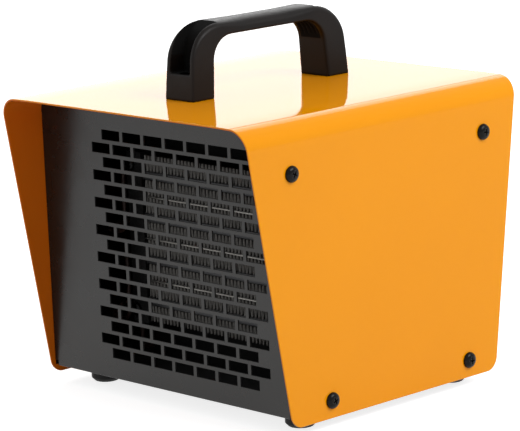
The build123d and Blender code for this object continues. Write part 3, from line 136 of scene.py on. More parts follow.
floor_mesh = bpy.data.meshes.new("floor")
half = FLOOR_SIZE / 2
floor_mesh.from_pydata([(-half, -half, 0), (half, -half, 0), (half, half, 0), (-half, half, 0)], [], [(0, 1, 2, 3)])
floor = bpy.data.objects.new("floor", floor_mesh)
bpy.context.scene.collection.objects.link(floor)


def seen_or_mirrored(tree):
    """1 for camera, glossy and transmission rays, 0 for light on its way to a matt surface."""
    path = put(tree, "ShaderNodeLightPath").outputs
    return calc(tree, "MAXIMUM", path["Is Camera Ray"],
                calc(tree, "MAXIMUM", path["Is Glossy Ray"], path["Is Transmission Ray"]))


paper = bpy.data.materials.new("floor_paper")
paper.use_nodes = True
tree = paper.node_tree
tree.nodes.clear()
matt = put(tree, "ShaderNodeBsdfDiffuse", {}, {"Color": (0.62, 0.62, 0.62, 1)})
glow = put(tree, "ShaderNodeEmission", {}, {
    "Color": (1, 1, 1, 1), "Strength": calc(tree, "MULTIPLY", seen_or_mirrored(tree), 0.80)})
both = put(tree, "ShaderNodeAddShader", {}, {0: matt.outputs[0], 1: glow.outputs[0]})
put(tree, "ShaderNodeOutputMaterial", {}, {"Surface": both.outputs[0]})
floor_mesh.materials.append(paper)

# %% Light the room
WORLD_LIGHT = 0.50

world = bpy.data.worlds.new("studio")
world.use_nodes = True
bpy.context.scene.world = world
tree = world.node_tree
tree.nodes.clear()
strength = first(tree, "ShaderNodeMapRange", {}, {
    "Value": seen_or_mirrored(tree), "To Min": WORLD_LIGHT, "To Max": 1.0})
sky = put(tree, "ShaderNodeBackground", {}, {"Color": (1, 1, 1, 1), "Strength": strength})
put(tree, "ShaderNodeOutputWorld", {}, {"Surface": sky.outputs[0]})


def softbox(name, place, target, width, height, radiance):
    """A rectangular lamp that faces a point; radiance 1 is as bright as white paper in full light."""
    light = bpy.data.lights.new(name, "AREA")
    light.shape = "RECTANGLE"
    light.size = width
    light.size_y = height
    light.energy = radiance * math.pi * width * height
    lamp = bpy.data.objects.new(name, light)
    bpy.context.scene.collection.objects.link(lamp)
    lamp.location = place
    lamp.rotation_euler = (Vector(target) - Vector(place)).to_track_quat("-Z", "Y").to_euler()
    print(f"{name}: {light.energy:.1f} W")
    return lamp


softbox("side_lamp", (1.4, 0.35, 1.35), (0.0, 0.0, 0.1), 1.2, 0.9, 6.6)
softbox("front_lamp", (-0.7, -2.0, 1.3), (0.0, 0.0, 0.1), 1.4, 1.0, 0.8)
softbox("low_rear_lamp", (-2.1, 2.0, 0.55), (0.0, 0.0, 0.17), 2.4, 0.66, 1.33)
softbox("high_rear_lamp", (-1.9, 1.8, 1.95), (0.0, 0.0, 0.17), 2.4, 1.6, 2.1)

# %% [markdown]
# ## Finishes
# Every finish starts from the same shader. A noise read from the object's own coordinates tints it
# a little, another roughens it, and a third lifts the surface by hundredths of a millimetre. The
# coordinates are in metres, so a noise scale of 800 gives grains a bit over a millimetre.

# %% Helpers for finishes
finishes = {}


def begin(name, **values):
    """A new finish: its tree, its shader and the coordinates that its patterns read."""
    material = bpy.data.materials.new(name)
    material.use_nodes = True
    tree = material.node_tree
    shader = tree.nodes["Principled BSDF"]
    for socket, value in values.items():
        shader.inputs[socket.replace("_", " ")].default_value = value
    finishes[name] = material
    return tree, shader, put(tree, "ShaderNodeTexCoord").outputs["Object"]


def noise(tree, where, scale, detail=2.0, stretch=(1, 1, 1)):
    """A soft random pattern; stretch above 1 squeezes it along that axis."""
    placed = first(tree, "ShaderNodeMapping", {}, {"Vector": where, "Scale": stretch})
    return put(tree, "ShaderNodeTexNoise", {}, {"Vector": placed, "Scale": scale, "Detail": detail}).outputs["Fac"]


def between(tree, pattern, low, high, start=0.3, end=0.7):
    """The pattern as a number from low to high."""
    return first(tree, "ShaderNodeMapRange", {}, {
        "Value": pattern, "From Min": start, "From Max": end, "To Min": low, "To Max": high})


def tint(tree, shader, pattern, one, other, start=0.3, end=0.7):
    """Colours the shader from one colour to the other along the pattern."""
    ramp = put(tree, "ShaderNodeValToRGB", {}, {"Fac": pattern})
    for stop, place, colour in zip(ramp.color_ramp.elements, (start, end), (one, other)):
        stop.position = place
        stop.color = (*colour, 1)
    tree.links.new(ramp.outputs["Color"], shader.inputs["Base Color"])


def roughen(tree, shader, pattern, low, high):
    """Gives the shader a roughness that wanders between two values."""
    tree.links.new(between(tree, pattern, low, high), shader.inputs["Roughness"])


def lift(tree, shader, pattern, depth, strength=1.0):
    """Raises the surface by the pattern, on top of any lift it has already."""
    bump = put(tree, "ShaderNodeBump", {}, {"Height": pattern, "Distance": depth, "Strength": strength})
    if shader.inputs["Normal"].is_linked:
        tree.links.new(shader.inputs["Normal"].links[0].from_socket, bump.inputs["Normal"])
    tree.links.new(bump.outputs[0], shader.inputs["Normal"])


# %% [markdown]
# ### Enamels
# The casing is bright orange stoved enamel. It is thick and glossy, with the faint peel that a
# sprayed coat dries to, and at a low angle it mirrors the lamp behind it like glass. Its inner face
# is painted shade: browner than the outside, and near black behind the panels, where the inside
# is shut in. The object's own coordinates say which side of the sheet a point is on.
# The chassis has the same paint in black, but half matt, so it only shows a broad sheen. The
# bracket and the air duct inside get a dull near-black finish that is painted shade.

# %% Orange and black enamel, black screw coating
def enamel(name, colour, deeper, ior, gloss, peel):
    """Sprayed and stoved paint: colour, slightly deeper where it lies thick, and its peel."""
    tree, shader, where = begin(name, IOR=ior)
    tint(tree, shader, noise(tree, where, 9.0, 3.0), deeper, colour)
    roughen(tree, shader, noise(tree, where, 60.0, 3.0), *gloss)
    lift(tree, shader, noise(tree, where, 420.0, 1.0), peel)
    lift(tree, shader, noise(tree, where, 2600.0, 1.0), peel * 0.12)
    return tree, shader, where


def mixed(tree, share, one, other):
    """One colour where the share is 0, the other where it is 1."""
    node = put(tree, "ShaderNodeMix", {"data_type": "RGBA"}, {"Factor": share})
    for socket, value in ((6, one), (7, other)):
        if isinstance(value, tuple):
            node.inputs[socket].default_value = (*value, 1)
        else:
            tree.links.new(value, node.inputs[socket])
    return node.outputs[2]


def recolour(tree, shader, mask, colour):
    """Another colour where the mask is 1."""
    socket = shader.inputs["Base Color"]
    tree.links.new(mixed(tree, mask, socket.links[0].from_socket, colour), socket)


def make_dull(tree, shader, mask):
    """Fully rough where the mask is 1."""
    socket = shader.inputs["Roughness"]
    tree.links.new(calc(tree, "MAXIMUM", socket.links[0].from_socket, mask), socket)


tree, shader, where = enamel(
    "orange_enamel", (0.91, 0.330, 0.001), (0.88, 0.315, 0.001), 1.23, (0.05, 0.08), 0.000012)
do = partial(calc, tree)
sheet_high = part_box("outer_casing")[1]
BEND = 0.012
HALF_SHEET = 0.0006             # a little over half, so the outer face keeps clear of the line
x, y, z = put(tree, "ShaderNodeSeparateXYZ", {}, {0: where}).outputs
# the sheet is BEND away from a line along each fold's middle; its inner face a millimetre less
past_x = do("MAXIMUM", 0.0, do("SUBTRACT", do("ABSOLUTE", x), sheet_high.x - BEND))
past_z = do("MAXIMUM", 0.0, do("SUBTRACT", z, sheet_high.z - BEND))
from_fold = do("SQRT", do("MULTIPLY_ADD", past_x, past_x, do("MULTIPLY", past_z, past_z)))
under_side = do("LESS_THAN", from_fold, BEND - HALF_SHEET)
between_panels = do("MULTIPLY", do("GREATER_THAN", y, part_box("front_chassis")[0].y + 0.0005),
                    do("LESS_THAN", y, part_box("rear_panel")[1].y - 0.0005))
shut_in = do("MULTIPLY", between_panels, do("GREATER_THAN", z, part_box("front_chassis")[0].z))
# painted shade: the inner face of the sheet is browner and darker than the outer face
recolour(tree, shader, under_side, (0.76, 0.160, 0.004))
# painted shade: the inner face behind the panels is near black
recolour(tree, shader, do("MULTIPLY", under_side, shut_in), (0.012, 0.007, 0.005))

tree, shader, where = enamel(
    "black_enamel", (0.010, 0.0088, 0.0070), (0.007, 0.0062, 0.0050), 1.43, (0.24, 0.31), 0.00001)
do = partial(calc, tree)
# painted shade: the punched edges and the faces inside are near black and fully rough
x, y, z = put(tree, "ShaderNodeSeparateXYZ", {}, {0: where}).outputs
SHADE_DEPTH = 0.00015                  # depth from which a face counts as hidden
front_face, rear_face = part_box("front_chassis")[0].y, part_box("rear_panel")[1].y
base_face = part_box("front_chassis")[0].z
behind = do("MULTIPLY", do("GREATER_THAN", y, front_face + SHADE_DEPTH), do("LESS_THAN", y, rear_face - SHADE_DEPTH))
hidden = do("MULTIPLY", behind, do("GREATER_THAN", z, base_face + SHADE_DEPTH))
recolour(tree, shader, hidden, (0.003, 0.003, 0.003))
make_dull(tree, shader, hidden)
# painted shade: a dull near-black finish for the bracket and the air duct inside
enamel("black_dip", (0.006, 0.006, 0.006), (0.004, 0.004, 0.004), 1.20, (0.60, 0.75), 0.00002)
enamel("black_screw_paint", (0.002, 0.0018, 0.0018), (0.0012, 0.0012, 0.0012), 1.24, (0.14, 0.24), 0.00001)

# %% [markdown]
# ### Plastics and rubber
# The handle and the knobs are black nylon from a spark-eroded mould: matt, with a fine even grain.
# Glass-filled mouldings inside are duller and speckled by the fibres. Rubber is rougher still.

# %% Nylon, mouldings, rubber, wire
def moulded(name, dark, light, roughness, grain, depth, ior=1.5):
    """A moulded plastic: fine grain from the mould and a slow drift of its colour."""
    tree, shader, where = begin(name, IOR=ior)
    tint(tree, shader, noise(tree, where, 40.0, 5.0), dark, light)
    roughen(tree, shader, noise(tree, where, 300.0, 2.0), *roughness)
    lift(tree, shader, noise(tree, where, grain, 2.0), depth)
    return tree, shader, where


tree, shader, where = moulded(
    "black_nylon", (0.0030, 0.0020, 0.0016), (0.0060, 0.0040, 0.0032), (0.36, 0.45), 2200.0, 0.00003, 1.25)
do = partial(calc, tree)
# painted shade: the deep screw pockets and the finger grooves underneath are near black and fully rough
x, y, z = put(tree, "ShaderNodeSeparateXYZ", {}, {0: where}).outputs
POCKET_OUT = 0.0445             # the pockets start this far from the handle's middle
low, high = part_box("handle")
far_out = do("ABSOLUTE", do("SUBTRACT", y, (low.y + high.y) / 2))
above_floor = do("MULTIPLY", do("GREATER_THAN", far_out, POCKET_OUT), do("GREATER_THAN", z, low.z + 0.0142))
under_roof = do("MULTIPLY", do("GREATER_THAN", far_out, 0.0372), do("GREATER_THAN", z, low.z + 0.0352))
on_underside = do("MULTIPLY", do("LESS_THAN", far_out, POCKET_OUT), do("COMPARE", z, low.z + 0.0286, 0.0066))
shaded_recesses = do("MAXIMUM", on_underside, do("MAXIMUM", above_floor, under_roof))
on_handle = do("MULTIPLY", do("LESS_THAN", far_out, 0.058), do("LESS_THAN", do("ABSOLUTE", x), 0.0079))
pocket_shade = do("MULTIPLY", shaded_recesses, on_handle)
recolour(tree, shader, pocket_shade, (0.001, 0.001, 0.001))
make_dull(tree, shader, pocket_shade)
moulded("black_rubber", (0.005, 0.0045, 0.004), (0.009, 0.0085, 0.008), (0.55, 0.72), 1500.0, 0.00004, 1.35)
moulded("wire_silicone", (0.022, 0.009, 0.006), (0.040, 0.016, 0.011), (0.45, 0.60), 900.0, 0.00002)
moulded("brown_moulding", (0.060, 0.022, 0.012), (0.11, 0.045, 0.022), (0.18, 0.32), 500.0, 0.00001)
tree, shader, where = moulded("white_nylon", (0.62, 0.61, 0.56), (0.72, 0.71, 0.66), (0.32, 0.45), 900.0, 0.00001)
shader.inputs["Subsurface Weight"].default_value = 0.15
shader.inputs["Subsurface Scale"].default_value = 0.002

tree, shader, where = begin("black_moulding", IOR=1.3)
fibres = noise(tree, where, 900.0, 3.0, (1, 0.25, 1))
tint(tree, shader, fibres, (0.005, 0.005, 0.005), (0.018, 0.0175, 0.017), 0.45, 0.75)
roughen(tree, shader, noise(tree, where, 120.0), 0.40, 0.58)
lift(tree, shader, fibres, 0.00002)

# %% [markdown]
# ### Bare metals
# Metals take their colour from what they mirror, so a fine pattern in the roughness says more than
# one in the colour. Rolled strip has lines along it and zinc plate a faint cloudiness. The fins
# have been hot many times, which leaves them grey and dull.

# %% Rolled, plated and cast metals
def metal(name, dark, light, roughness, scale=200.0, stretch=(1, 1, 1), depth=0.000005, **values):
    """A bare metal with a pattern that may be stretched into rolling or turning lines."""
    tree, shader, where = begin(name, Metallic=1.0, **values)
    pattern = noise(tree, where, scale, 4.0, stretch)
    tint(tree, shader, pattern, dark, light)
    roughen(tree, shader, pattern, *roughness)
    lift(tree, shader, pattern, depth)
    return tree, shader, where


metal("joint_aluminium", (0.20, 0.19, 0.175), (0.32, 0.31, 0.29), (0.30, 0.45), 900.0, (0.06, 1, 1))
tree, shader, where = metal("fin_aluminium", (0.075, 0.072, 0.068), (0.13, 0.125, 0.118), (0.32, 0.50), 900.0,
                            (1, 0.06, 1))
# painted shade: bright at the front edges, near black deeper in between the folds
depth = calc(tree, "SUBTRACT", put(tree, "ShaderNodeSeparateXYZ", {}, {0: where}).outputs[1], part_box("ptc_fins")[0].y)
fold_shade = between(tree, depth, 0.0, 1.0, 0.0002, 0.0012)
recolour(tree, shader, fold_shade, (0.012, 0.011, 0.010))
metal("zinc_steel", (0.55, 0.56, 0.58), (0.70, 0.70, 0.69), (0.20, 0.36), 350.0)
metal("dark_tube_aluminium", (0.045, 0.045, 0.047), (0.075, 0.075, 0.077), (0.40, 0.55), 500.0, (0.1, 1, 1))
metal("sintered_bronze", (0.38, 0.24, 0.10), (0.58, 0.40, 0.20), (0.45, 0.65), 1600.0, depth=0.00003)
metal("terminal_brass", (0.66, 0.60, 0.44), (0.78, 0.72, 0.54), (0.22, 0.38), 600.0, (1, 0.1, 1))
metal("motor_laminations", (0.20, 0.20, 0.21), (0.42, 0.42, 0.43), (0.38, 0.55), 2000.0, (0.04, 1, 0.04), 0.00003)
metal("copper", (0.50, 0.17, 0.07), (0.82, 0.36, 0.18), (0.20, 0.34), 1300.0, (0.05, 1, 0.05), 0.00008,
      Coat_Weight=0.6, Coat_Roughness=0.15)
tree, shader, where = metal("cast_aluminium", (0.030, 0.030, 0.031), (0.050, 0.050, 0.051), (0.42, 0.56),
                            700.0, depth=0.00004)
shader.inputs["Metallic"].default_value = 0.0

tree, shader, where = begin("heating_ceramic", IOR=1.6)
specks = put(tree, "ShaderNodeTexVoronoi", {}, {"Vector": where, "Scale": 1500.0}).outputs["Distance"]
tint(tree, shader, specks, (0.10, 0.095, 0.088), (0.24, 0.23, 0.21), 0.1, 0.6)
shader.inputs["Roughness"].default_value = 0.78
lift(tree, shader, specks, 0.00003)

print(len(finishes), "finishes")

# %% Give each solid the finish of its slot
slot_of = {part["node"]: part["material_slot"] for part in frame["record"]["subparts"]}
for name, node in nodes.items():
    node.data.materials.clear()
    node.data.materials.append(finishes[slot_of[name]])
# painted shade: the bracket and the duct take the near-black finish; the joint plates their own
for name, finish in (("heater_bracket", "black_dip"), ("air_duct", "black_dip"),
                     ("ptc_joint_plates", "joint_aluminium")):
    nodes[name].data.materials[0] = finishes[finish]
print(len(slot_of), "solids have their finish")

# %% [markdown]
# ## How a piece is finished
# A piece is first worked out with modifiers or a Geometry Nodes tree. Then its result is turned
# into a plain mesh, the modifiers go, the piece gets its finish and moves with its body, and the
# solids it stands for are hidden.

# %% Helpers for pieces
def new_piece(name, points, faces=(), edges=()):
    """A mesh object from lists of points, edges and faces."""
    mesh = bpy.data.meshes.new(name)
    mesh.from_pydata([tuple(point) for point in points], list(edges), list(faces))
    piece = bpy.data.objects.new(name, mesh)
    bpy.context.scene.collection.objects.link(piece)
    return piece


def shape_piece(name, shape):
    """An object from a bmesh shape, which is freed."""
    mesh = bpy.data.meshes.new(name)
    shape.to_mesh(mesh)
    shape.free()
    piece = bpy.data.objects.new(name, mesh)
    bpy.context.scene.collection.objects.link(piece)
    return piece


def with_modifier(piece, kind, **settings):
    """Adds a modifier with its settings."""
    modifier = piece.modifiers.new(kind.lower(), kind)
    for name, value in settings.items():
        setattr(modifier, name, value)
    return modifier


def rounded(piece, width, segments=2, angle=35):
    """Rounds every edge sharper than the angle, with shading that flows into the flat faces."""
    return with_modifier(piece, "BEVEL", width=width, segments=segments, limit_method="ANGLE",
                         angle_limit=math.radians(angle), harden_normals=True)


def set_plain(piece):
    """Replaces a piece's mesh by the result of its modifiers."""
    result = bpy.data.meshes.new_from_object(piece.evaluated_get(bpy.context.evaluated_depsgraph_get()))
    piece.modifiers.clear()
    piece.data = result
    return piece


def cut(piece, cutter, **settings):
    """Takes the cutter's shape out of the piece and removes the cutter."""
    with_modifier(piece, "BOOLEAN", operation="DIFFERENCE", solver="EXACT", object=cutter, **settings)
    set_plain(piece)
    bpy.data.objects.remove(cutter)


def settle(piece, slot, stands_for=(), body="housing"):
    """Makes the piece plain, gives it its finish and hands it to its body."""
    set_plain(piece)
    piece.data.materials.clear()
    piece.data.materials.append(finishes[slot])
    for face in piece.data.polygons:
        face.material_index = 0
    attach(piece, body)
    if stands_for:
        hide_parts(*stands_for)
    piece.data.calc_loop_triangles()
    print(f"{piece.name}: {len(piece.data.loop_triangles)} triangles")
    return piece


def open_edges(piece):
    """How many edges have other than two faces: 0 on a closed piece."""
    shape = bmesh.new()
    shape.from_mesh(piece.data)
    count = sum(1 for edge in shape.edges if len(edge.link_faces) != 2)
    shape.free()
    return count


# %% Helpers for Geometry Nodes
def begin_tree(name, **sizes):
    """A tree with a geometry input and one named input for each size; returns it and its inputs."""
    tree = bpy.data.node_groups.new(name, "GeometryNodeTree")
    tree.interface.new_socket("Geometry", in_out="INPUT", socket_type="NodeSocketGeometry")
    for size, kind in sizes.items():
        tree.interface.new_socket(size.replace("_", " "), in_out="INPUT", socket_type="NodeSocket" + kind)
    tree.interface.new_socket("Geometry", in_out="OUTPUT", socket_type="NodeSocketGeometry")
    return tree, put(tree, "NodeGroupInput").outputs


def end_tree(tree, shape):
    """Every tree ends alike: instances become real and the finish is set."""
    real = put(tree, "GeometryNodeRealizeInstances", {}, {"Geometry": shape})
    given = put(tree, "NodeGroupInput").outputs["Finish"]
    done = put(tree, "GeometryNodeSetMaterial", {}, {"Geometry": real.outputs[0], "Material": given})
    put(tree, "NodeGroupOutput", {}, {0: done.outputs[0]})


def apply_tree(piece, tree, **values):
    """Adds the tree as a modifier and sets its inputs by the sockets' identifiers."""
    modifier = piece.modifiers.new(tree.name, "NODES")
    modifier.node_group = tree
    for socket in tree.interface.items_tree:
        if socket.in_out == "INPUT" and socket.name.replace(" ", "_") in values:
            modifier[socket.identifier] = values[socket.name.replace(" ", "_")]
    return modifier


def vector(tree, x=0.0, y=0.0, z=0.0):
    """Three numbers or outputs as one vector."""
    return first(tree, "ShaderNodeCombineXYZ", {}, {0: x, 1: y, 2: z})


def parts_of(tree, source):
    """The three numbers of a vector."""
    return put(tree, "ShaderNodeSeparateXYZ", {}, {0: source}).outputs


# %% [markdown]
# ## The casing
# One sheet of steel is folded twice into a U and set over the chassis. Its front and rear edges
# are raked: the top is longer than the sides are at the bottom, so it makes a hood at both ends.
# It could be modelled face by face. But it follows a rule: a line across the heater is bent at two
# corners, drawn out from front to rear, and every point is then put on the raked edge of its
# height. A Geometry Nodes tree says just that, and its inputs are the sheet's real sizes.

# %% A tree for the folded casing
casing_tree, given = begin_tree("folded_casing", Bend="Float", Top="Float", Bottom="Float", Front="Float",
                                Rear="Float", Front_rake="Float", Rear_rake="Float", Corner="Float",
                                Finish="Material")
add, get, do = tools(casing_tree)
line = get("GeometryNodeMeshToCurve", {}, {"Mesh": given["Geometry"]})
x, y, z = parts_of(casing_tree, get("GeometryNodeInputPosition"))
# only the two points at the top are folds; the others lie on straight runs
at_top = do("COMPARE", z, given["Top"], 0.0001)
bent = get("GeometryNodeFilletCurve", {"mode": "POLY"}, {
    "Curve": line, "Count": do("MULTIPLY_ADD", at_top, 21.0, 1.0),
    "Radius": do("MULTIPLY", at_top, given["Bend"])})
fold = get("GeometryNodeCurveToMesh", {}, {"Curve": bent})
single = get("GeometryNodeMergeByDistance", {}, {"Geometry": fold, "Distance": 0.00001})
drawn = get("GeometryNodeExtrudeMesh", {"mode": "EDGES"}, {
    "Mesh": single, "Offset": vector(casing_tree, 0.0, 1.0, 0.0), "Offset Scale": 1.0})
drop = do("DIVIDE", do("SUBTRACT", given["Top"], z), do("SUBTRACT", given["Top"], given["Bottom"]))
# the rounded lower corner: how far the arc pulls the edge in at this height
below = do("MAXIMUM", 0.0, do("SUBTRACT", given["Corner"], do("SUBTRACT", z, given["Bottom"])))
flat = do("SQRT", do("SUBTRACT", do("POWER", given["Corner"], 2.0), do("POWER", below, 2.0)))
pull = do("SUBTRACT", given["Corner"], flat)
front_edge = do("ADD", given["Front"], do("MULTIPLY_ADD", drop, given["Front rake"], pull))
rear_edge = do("SUBTRACT", given["Rear"], do("MULTIPLY_ADD", drop, given["Rear rake"], pull))
at_rear = do("GREATER_THAN", y, 0.5)
placed_y = do("MULTIPLY_ADD", at_rear, do("SUBTRACT", rear_edge, front_edge), front_edge)
raked = get("GeometryNodeSetPosition", {}, {"Geometry": drawn, "Position": vector(casing_tree, x, placed_y, z)})
smooth = get("GeometryNodeSetShadeSmooth", {}, {"Geometry": raked})
end_tree(casing_tree, smooth)

# %% Fold the casing
low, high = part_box("outer_casing")
CASING_CORNER = 0.007
SHEET = 0.001

# the fold line, from the left lower edge over the top; more points where the corners are round
rise = [CASING_CORNER * (1 - math.cos(math.radians(15 * step))) for step in range(7)]
left = [(low.x, 0, low.z + height) for height in rise]
fold_line = left + [(low.x, 0, high.z), (high.x, 0, high.z)] + [(high.x, 0, place[2]) for place in left[::-1]]
casing = new_piece("casing_shell", fold_line, edges=[(n, n + 1) for n in range(len(fold_line) - 1)])
apply_tree(casing, casing_tree, Bend=BEND, Top=high.z, Bottom=low.z, Front=low.y, Rear=high.y,
           Front_rake=0.027, Rear_rake=0.0227, Corner=CASING_CORNER, Finish=finishes["orange_enamel"])
set_plain(casing)

# the top falls by up to 0.3 mm over the last EASE before each bend; that curves what it mirrors
EASE, FALL = 0.018, 0.95
ease_start = high.x - BEND - EASE
shape = bmesh.new()
shape.from_mesh(casing.data)
for k in (-1, 1):
    for step in range(7):
        bmesh.ops.bisect_plane(shape, geom=list(shape.verts) + list(shape.edges) + list(shape.faces), dist=0.000001,
                               plane_co=(k * (ease_start + EASE * step / 7), 0, 0), plane_no=(1, 0, 0))
for vert in shape.verts:
    past = min(max(abs(vert.co.x) - ease_start, 0.0), EASE)
    vert.co.z -= FALL * past ** 2 * (vert.co.z - low.z) / (high.z - low.z)
shape.to_mesh(casing.data)
shape.free()

top_face = max(casing.data.polygons, key=lambda face: face.center.z)
if top_face.normal.z < 0:
    casing.data.flip_normals()
with_modifier(casing, "SOLIDIFY", thickness=SHEET, offset=-1.0, use_even_offset=True)
rounded(casing, 0.00042, 3, 50)
settle(casing, "orange_enamel", ["outer_casing"])
print("casing: open edges", open_edges(casing))

# %% [markdown]
# ## Punched sheets
# The front panel has 17 rows of slots, and each row is shifted by half a slot against the next.
# The rear panel has the same slots inside a circle behind the fan. Drawing them one by one would
# be dull and easy to get wrong, so a tree lays out a grid of punches, shifts every second row,
# drops those that don't belong, and cuts all of them through the sheet at once.

# %% A tree that punches staggered slots
punch_tree, given = begin_tree(
    "punched_slots", Rows="Int", Longest_row="Int", Slot_pitch="Float", Row_pitch="Float", Slot_width="Float",
    Slot_height="Float", Middle="Vector", Reach="Float", Finish="Material")
add, get, do = tools(punch_tree)
columns = given["Longest row"]
rows = given["Rows"]
grid = get("GeometryNodeMeshGrid", {}, {
    "Size X": do("MULTIPLY", do("SUBTRACT", columns, 1.0), given["Slot pitch"]),
    "Size Y": do("MULTIPLY", do("SUBTRACT", rows, 1.0), given["Row pitch"]),
    "Vertices X": columns, "Vertices Y": rows})
index = get("GeometryNodeInputIndex")
row = do("MODULO", index, rows)
column = do("FLOOR", do("DIVIDE", do("ADD", index, 0.5), rows))
short_row = do("LESS_THAN", do("MODULO", row, 2.0), 0.5)
shift = do("MULTIPLY", do("MULTIPLY", short_row, given["Slot pitch"]), 0.5)
staggered = get("GeometryNodeSetPosition", {}, {"Geometry": grid, "Offset": vector(punch_tree, shift)})
# a short row has no last slot, and no slot's far corner leaves the circle
last = do("GREATER_THAN", column, do("SUBTRACT", columns, 1.5))
x, y, z = parts_of(punch_tree, get("GeometryNodeInputPosition"))
far_x = do("MULTIPLY_ADD", given["Slot width"], 0.5, do("ABSOLUTE", x))
far_y = do("MULTIPLY_ADD", given["Slot height"], 0.5, do("ABSOLUTE", y))
far = do("SQRT", do("MULTIPLY_ADD", far_x, far_x, do("MULTIPLY", far_y, far_y)))
outside = do("GREATER_THAN", far, given["Reach"])
unwanted = do("MAXIMUM", outside, do("MULTIPLY", short_row, last))
kept = get("GeometryNodeDeleteGeometry", {}, {"Geometry": staggered, "Selection": unwanted})
upright = get("GeometryNodeSetPosition", {}, {
    "Geometry": kept, "Position": vector(punch_tree, x, 0.0, y), "Offset": given["Middle"]})
punch = get("GeometryNodeMeshCube", {}, {
    "Size": vector(punch_tree, given["Slot width"], 0.006, given["Slot height"])})
punches = get("GeometryNodeInstanceOnPoints", {}, {"Points": upright, "Instance": punch})
punched = get("GeometryNodeMeshBoolean", {"operation": "DIFFERENCE", "solver": "EXACT"}, {
    "Mesh 1": given["Geometry"],
    "Mesh 2": get("GeometryNodeRealizeInstances", {}, {0: punches})})
end_tree(punch_tree, punched)

# %% [markdown]
# ## The chassis
# The front panel, its narrow side and top flanges and the base plate are one folded sheet. The
# outline of each face is drawn flat, the faces meet at the fold lines, and a bevel on just those
# lines gives the sheet its bending radius before it gets its thickness.

# %% A helper for folded sheets
def folded_sheet(name, faces, folds, radius):
    """Joins flat faces at their shared edges, bends those edges and gives the sheet its thickness."""
    shape = bmesh.new()
    for face in faces:
        shape.faces.new([shape.verts.new(point) for point in face])
    bmesh.ops.remove_doubles(shape, verts=shape.verts, dist=0.00001)
    weights = shape.edges.layers.float.new("bevel_weight_edge")
    for edge in shape.edges:
        edge[weights] = 1.0 if len(edge.link_faces) == 2 else 0.0
    bmesh.ops.recalc_face_normals(shape, faces=shape.faces)
    piece = shape_piece(name, shape)
    if folds(piece.data):
        piece.data.flip_normals()
    with_modifier(piece, "BEVEL", width=radius, segments=5, limit_method="WEIGHT")
    with_modifier(piece, "SOLIDIFY", thickness=SHEET, offset=-1.0, use_even_offset=True)
    return piece


NOTCH, CORNER, STOP = 0.003, 0.011, 0.012      # of every panel: lower notch, upper corner, end of a flange
SHEET_BEND = 0.0018


def panel_outline(y, half, bottom, top):
    """A panel's outline seen along Y: notched below, round above."""
    arc = [(half - CORNER + CORNER * math.cos(math.radians(15 * step)),
            top - CORNER + CORNER * math.sin(math.radians(15 * step))) for step in range(7)]
    right = [(half - NOTCH, bottom), (half - NOTCH, bottom + NOTCH), (half, bottom + NOTCH),
             (half, top - STOP)] + arc + [(half - STOP, top)]
    outline = right + [(-px, pz) for px, pz in right[::-1]]
    return [(px, y, pz) for px, pz in outline]


# %% Fold and punch the front panel with the base
low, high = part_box("front_chassis")
FLANGE = 0.010
BASE_FLANGE = 0.014
half, front, bottom, top = high.x, low.y, low.z, high.z
base_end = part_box("rear_panel")[1].y
flange_end = base_end - FLANGE - 0.002

sheets = [panel_outline(front, half, bottom, top)]
sheets.append([(-half + STOP, front, top), (half - STOP, front, top),
               (half - STOP, front + FLANGE, top), (-half + STOP, front + FLANGE, top)])
for side in (-1, 1):
    edge = side * half
    sheets.append([(edge, front, bottom + NOTCH), (edge, front, top - STOP), (edge, front + FLANGE, top - STOP),
                   (edge, front + FLANGE, bottom + BASE_FLANGE), (edge, flange_end, bottom + BASE_FLANGE),
                   (edge, flange_end, bottom), (edge, front + NOTCH, bottom), (edge, front + NOTCH, bottom + NOTCH)])
right = [(half - NOTCH, front, bottom), (half - NOTCH, front + NOTCH, bottom), (half, front + NOTCH, bottom),
         (half, flange_end, bottom), (half, base_end, bottom)]
sheets.append(right + [(-px, py, pz) for px, py, pz in right[::-1]])

chassis = folded_sheet("chassis_sheet", sheets, lambda mesh: mesh.polygons[0].normal.y > 0, SHEET_BEND)
SLOT = {"Slot_width": 0.0151, "Slot_height": 0.0058, "Slot_pitch": 0.01754, "Row_pitch": 0.00786}
air_x = 0.01311
air_z = 0.08848
apply_tree(chassis, punch_tree, Rows=17, Longest_row=8, Middle=(air_x, front + SHEET / 2, air_z), Reach=1.0,
           Finish=finishes["black_enamel"], **SLOT)
rounded(chassis, 0.00006, 1, 60)
settle(chassis, "black_enamel", ["front_chassis"])
print("chassis: open edges", open_edges(chassis))

# %% Fold and punch the rear panel
low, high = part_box("rear_panel")
half, rear, bottom, top = high.x, high.y, low.z, high.z
sheets = [panel_outline(rear, half, bottom, top)]
for start, end in (((-half + STOP, top), (half - STOP, top)), ((-half + NOTCH, bottom), (half - NOTCH, bottom)),
                   ((-half, bottom + NOTCH), (-half, top - STOP)), ((half, bottom + NOTCH), (half, top - STOP))):
    sheets.append([(start[0], rear, start[1]), (end[0], rear, end[1]),
                   (end[0], rear - FLANGE, end[1]), (start[0], rear - FLANGE, start[1])])
back = folded_sheet("rear_sheet", sheets, lambda mesh: mesh.polygons[0].normal.y < 0, SHEET_BEND)
apply_tree(back, punch_tree, Rows=13, Longest_row=7, Middle=(air_x, rear - SHEET / 2, air_z), Reach=0.059,
           Finish=finishes["black_enamel"], **SLOT)


def punch_round(piece, places, radius):
    """Cuts round holes along Y through a sheet."""
    cutter_shape = bmesh.new()
    for px, py, pz in places:
        bmesh.ops.create_cone(cutter_shape, cap_ends=True, segments=48, radius1=radius, radius2=radius, depth=0.008,
                              matrix=Matrix.Translation((px, py, pz)) @ Matrix.Rotation(math.pi / 2, 4, "X"))
    cut(piece, shape_piece("cutter", cutter_shape))


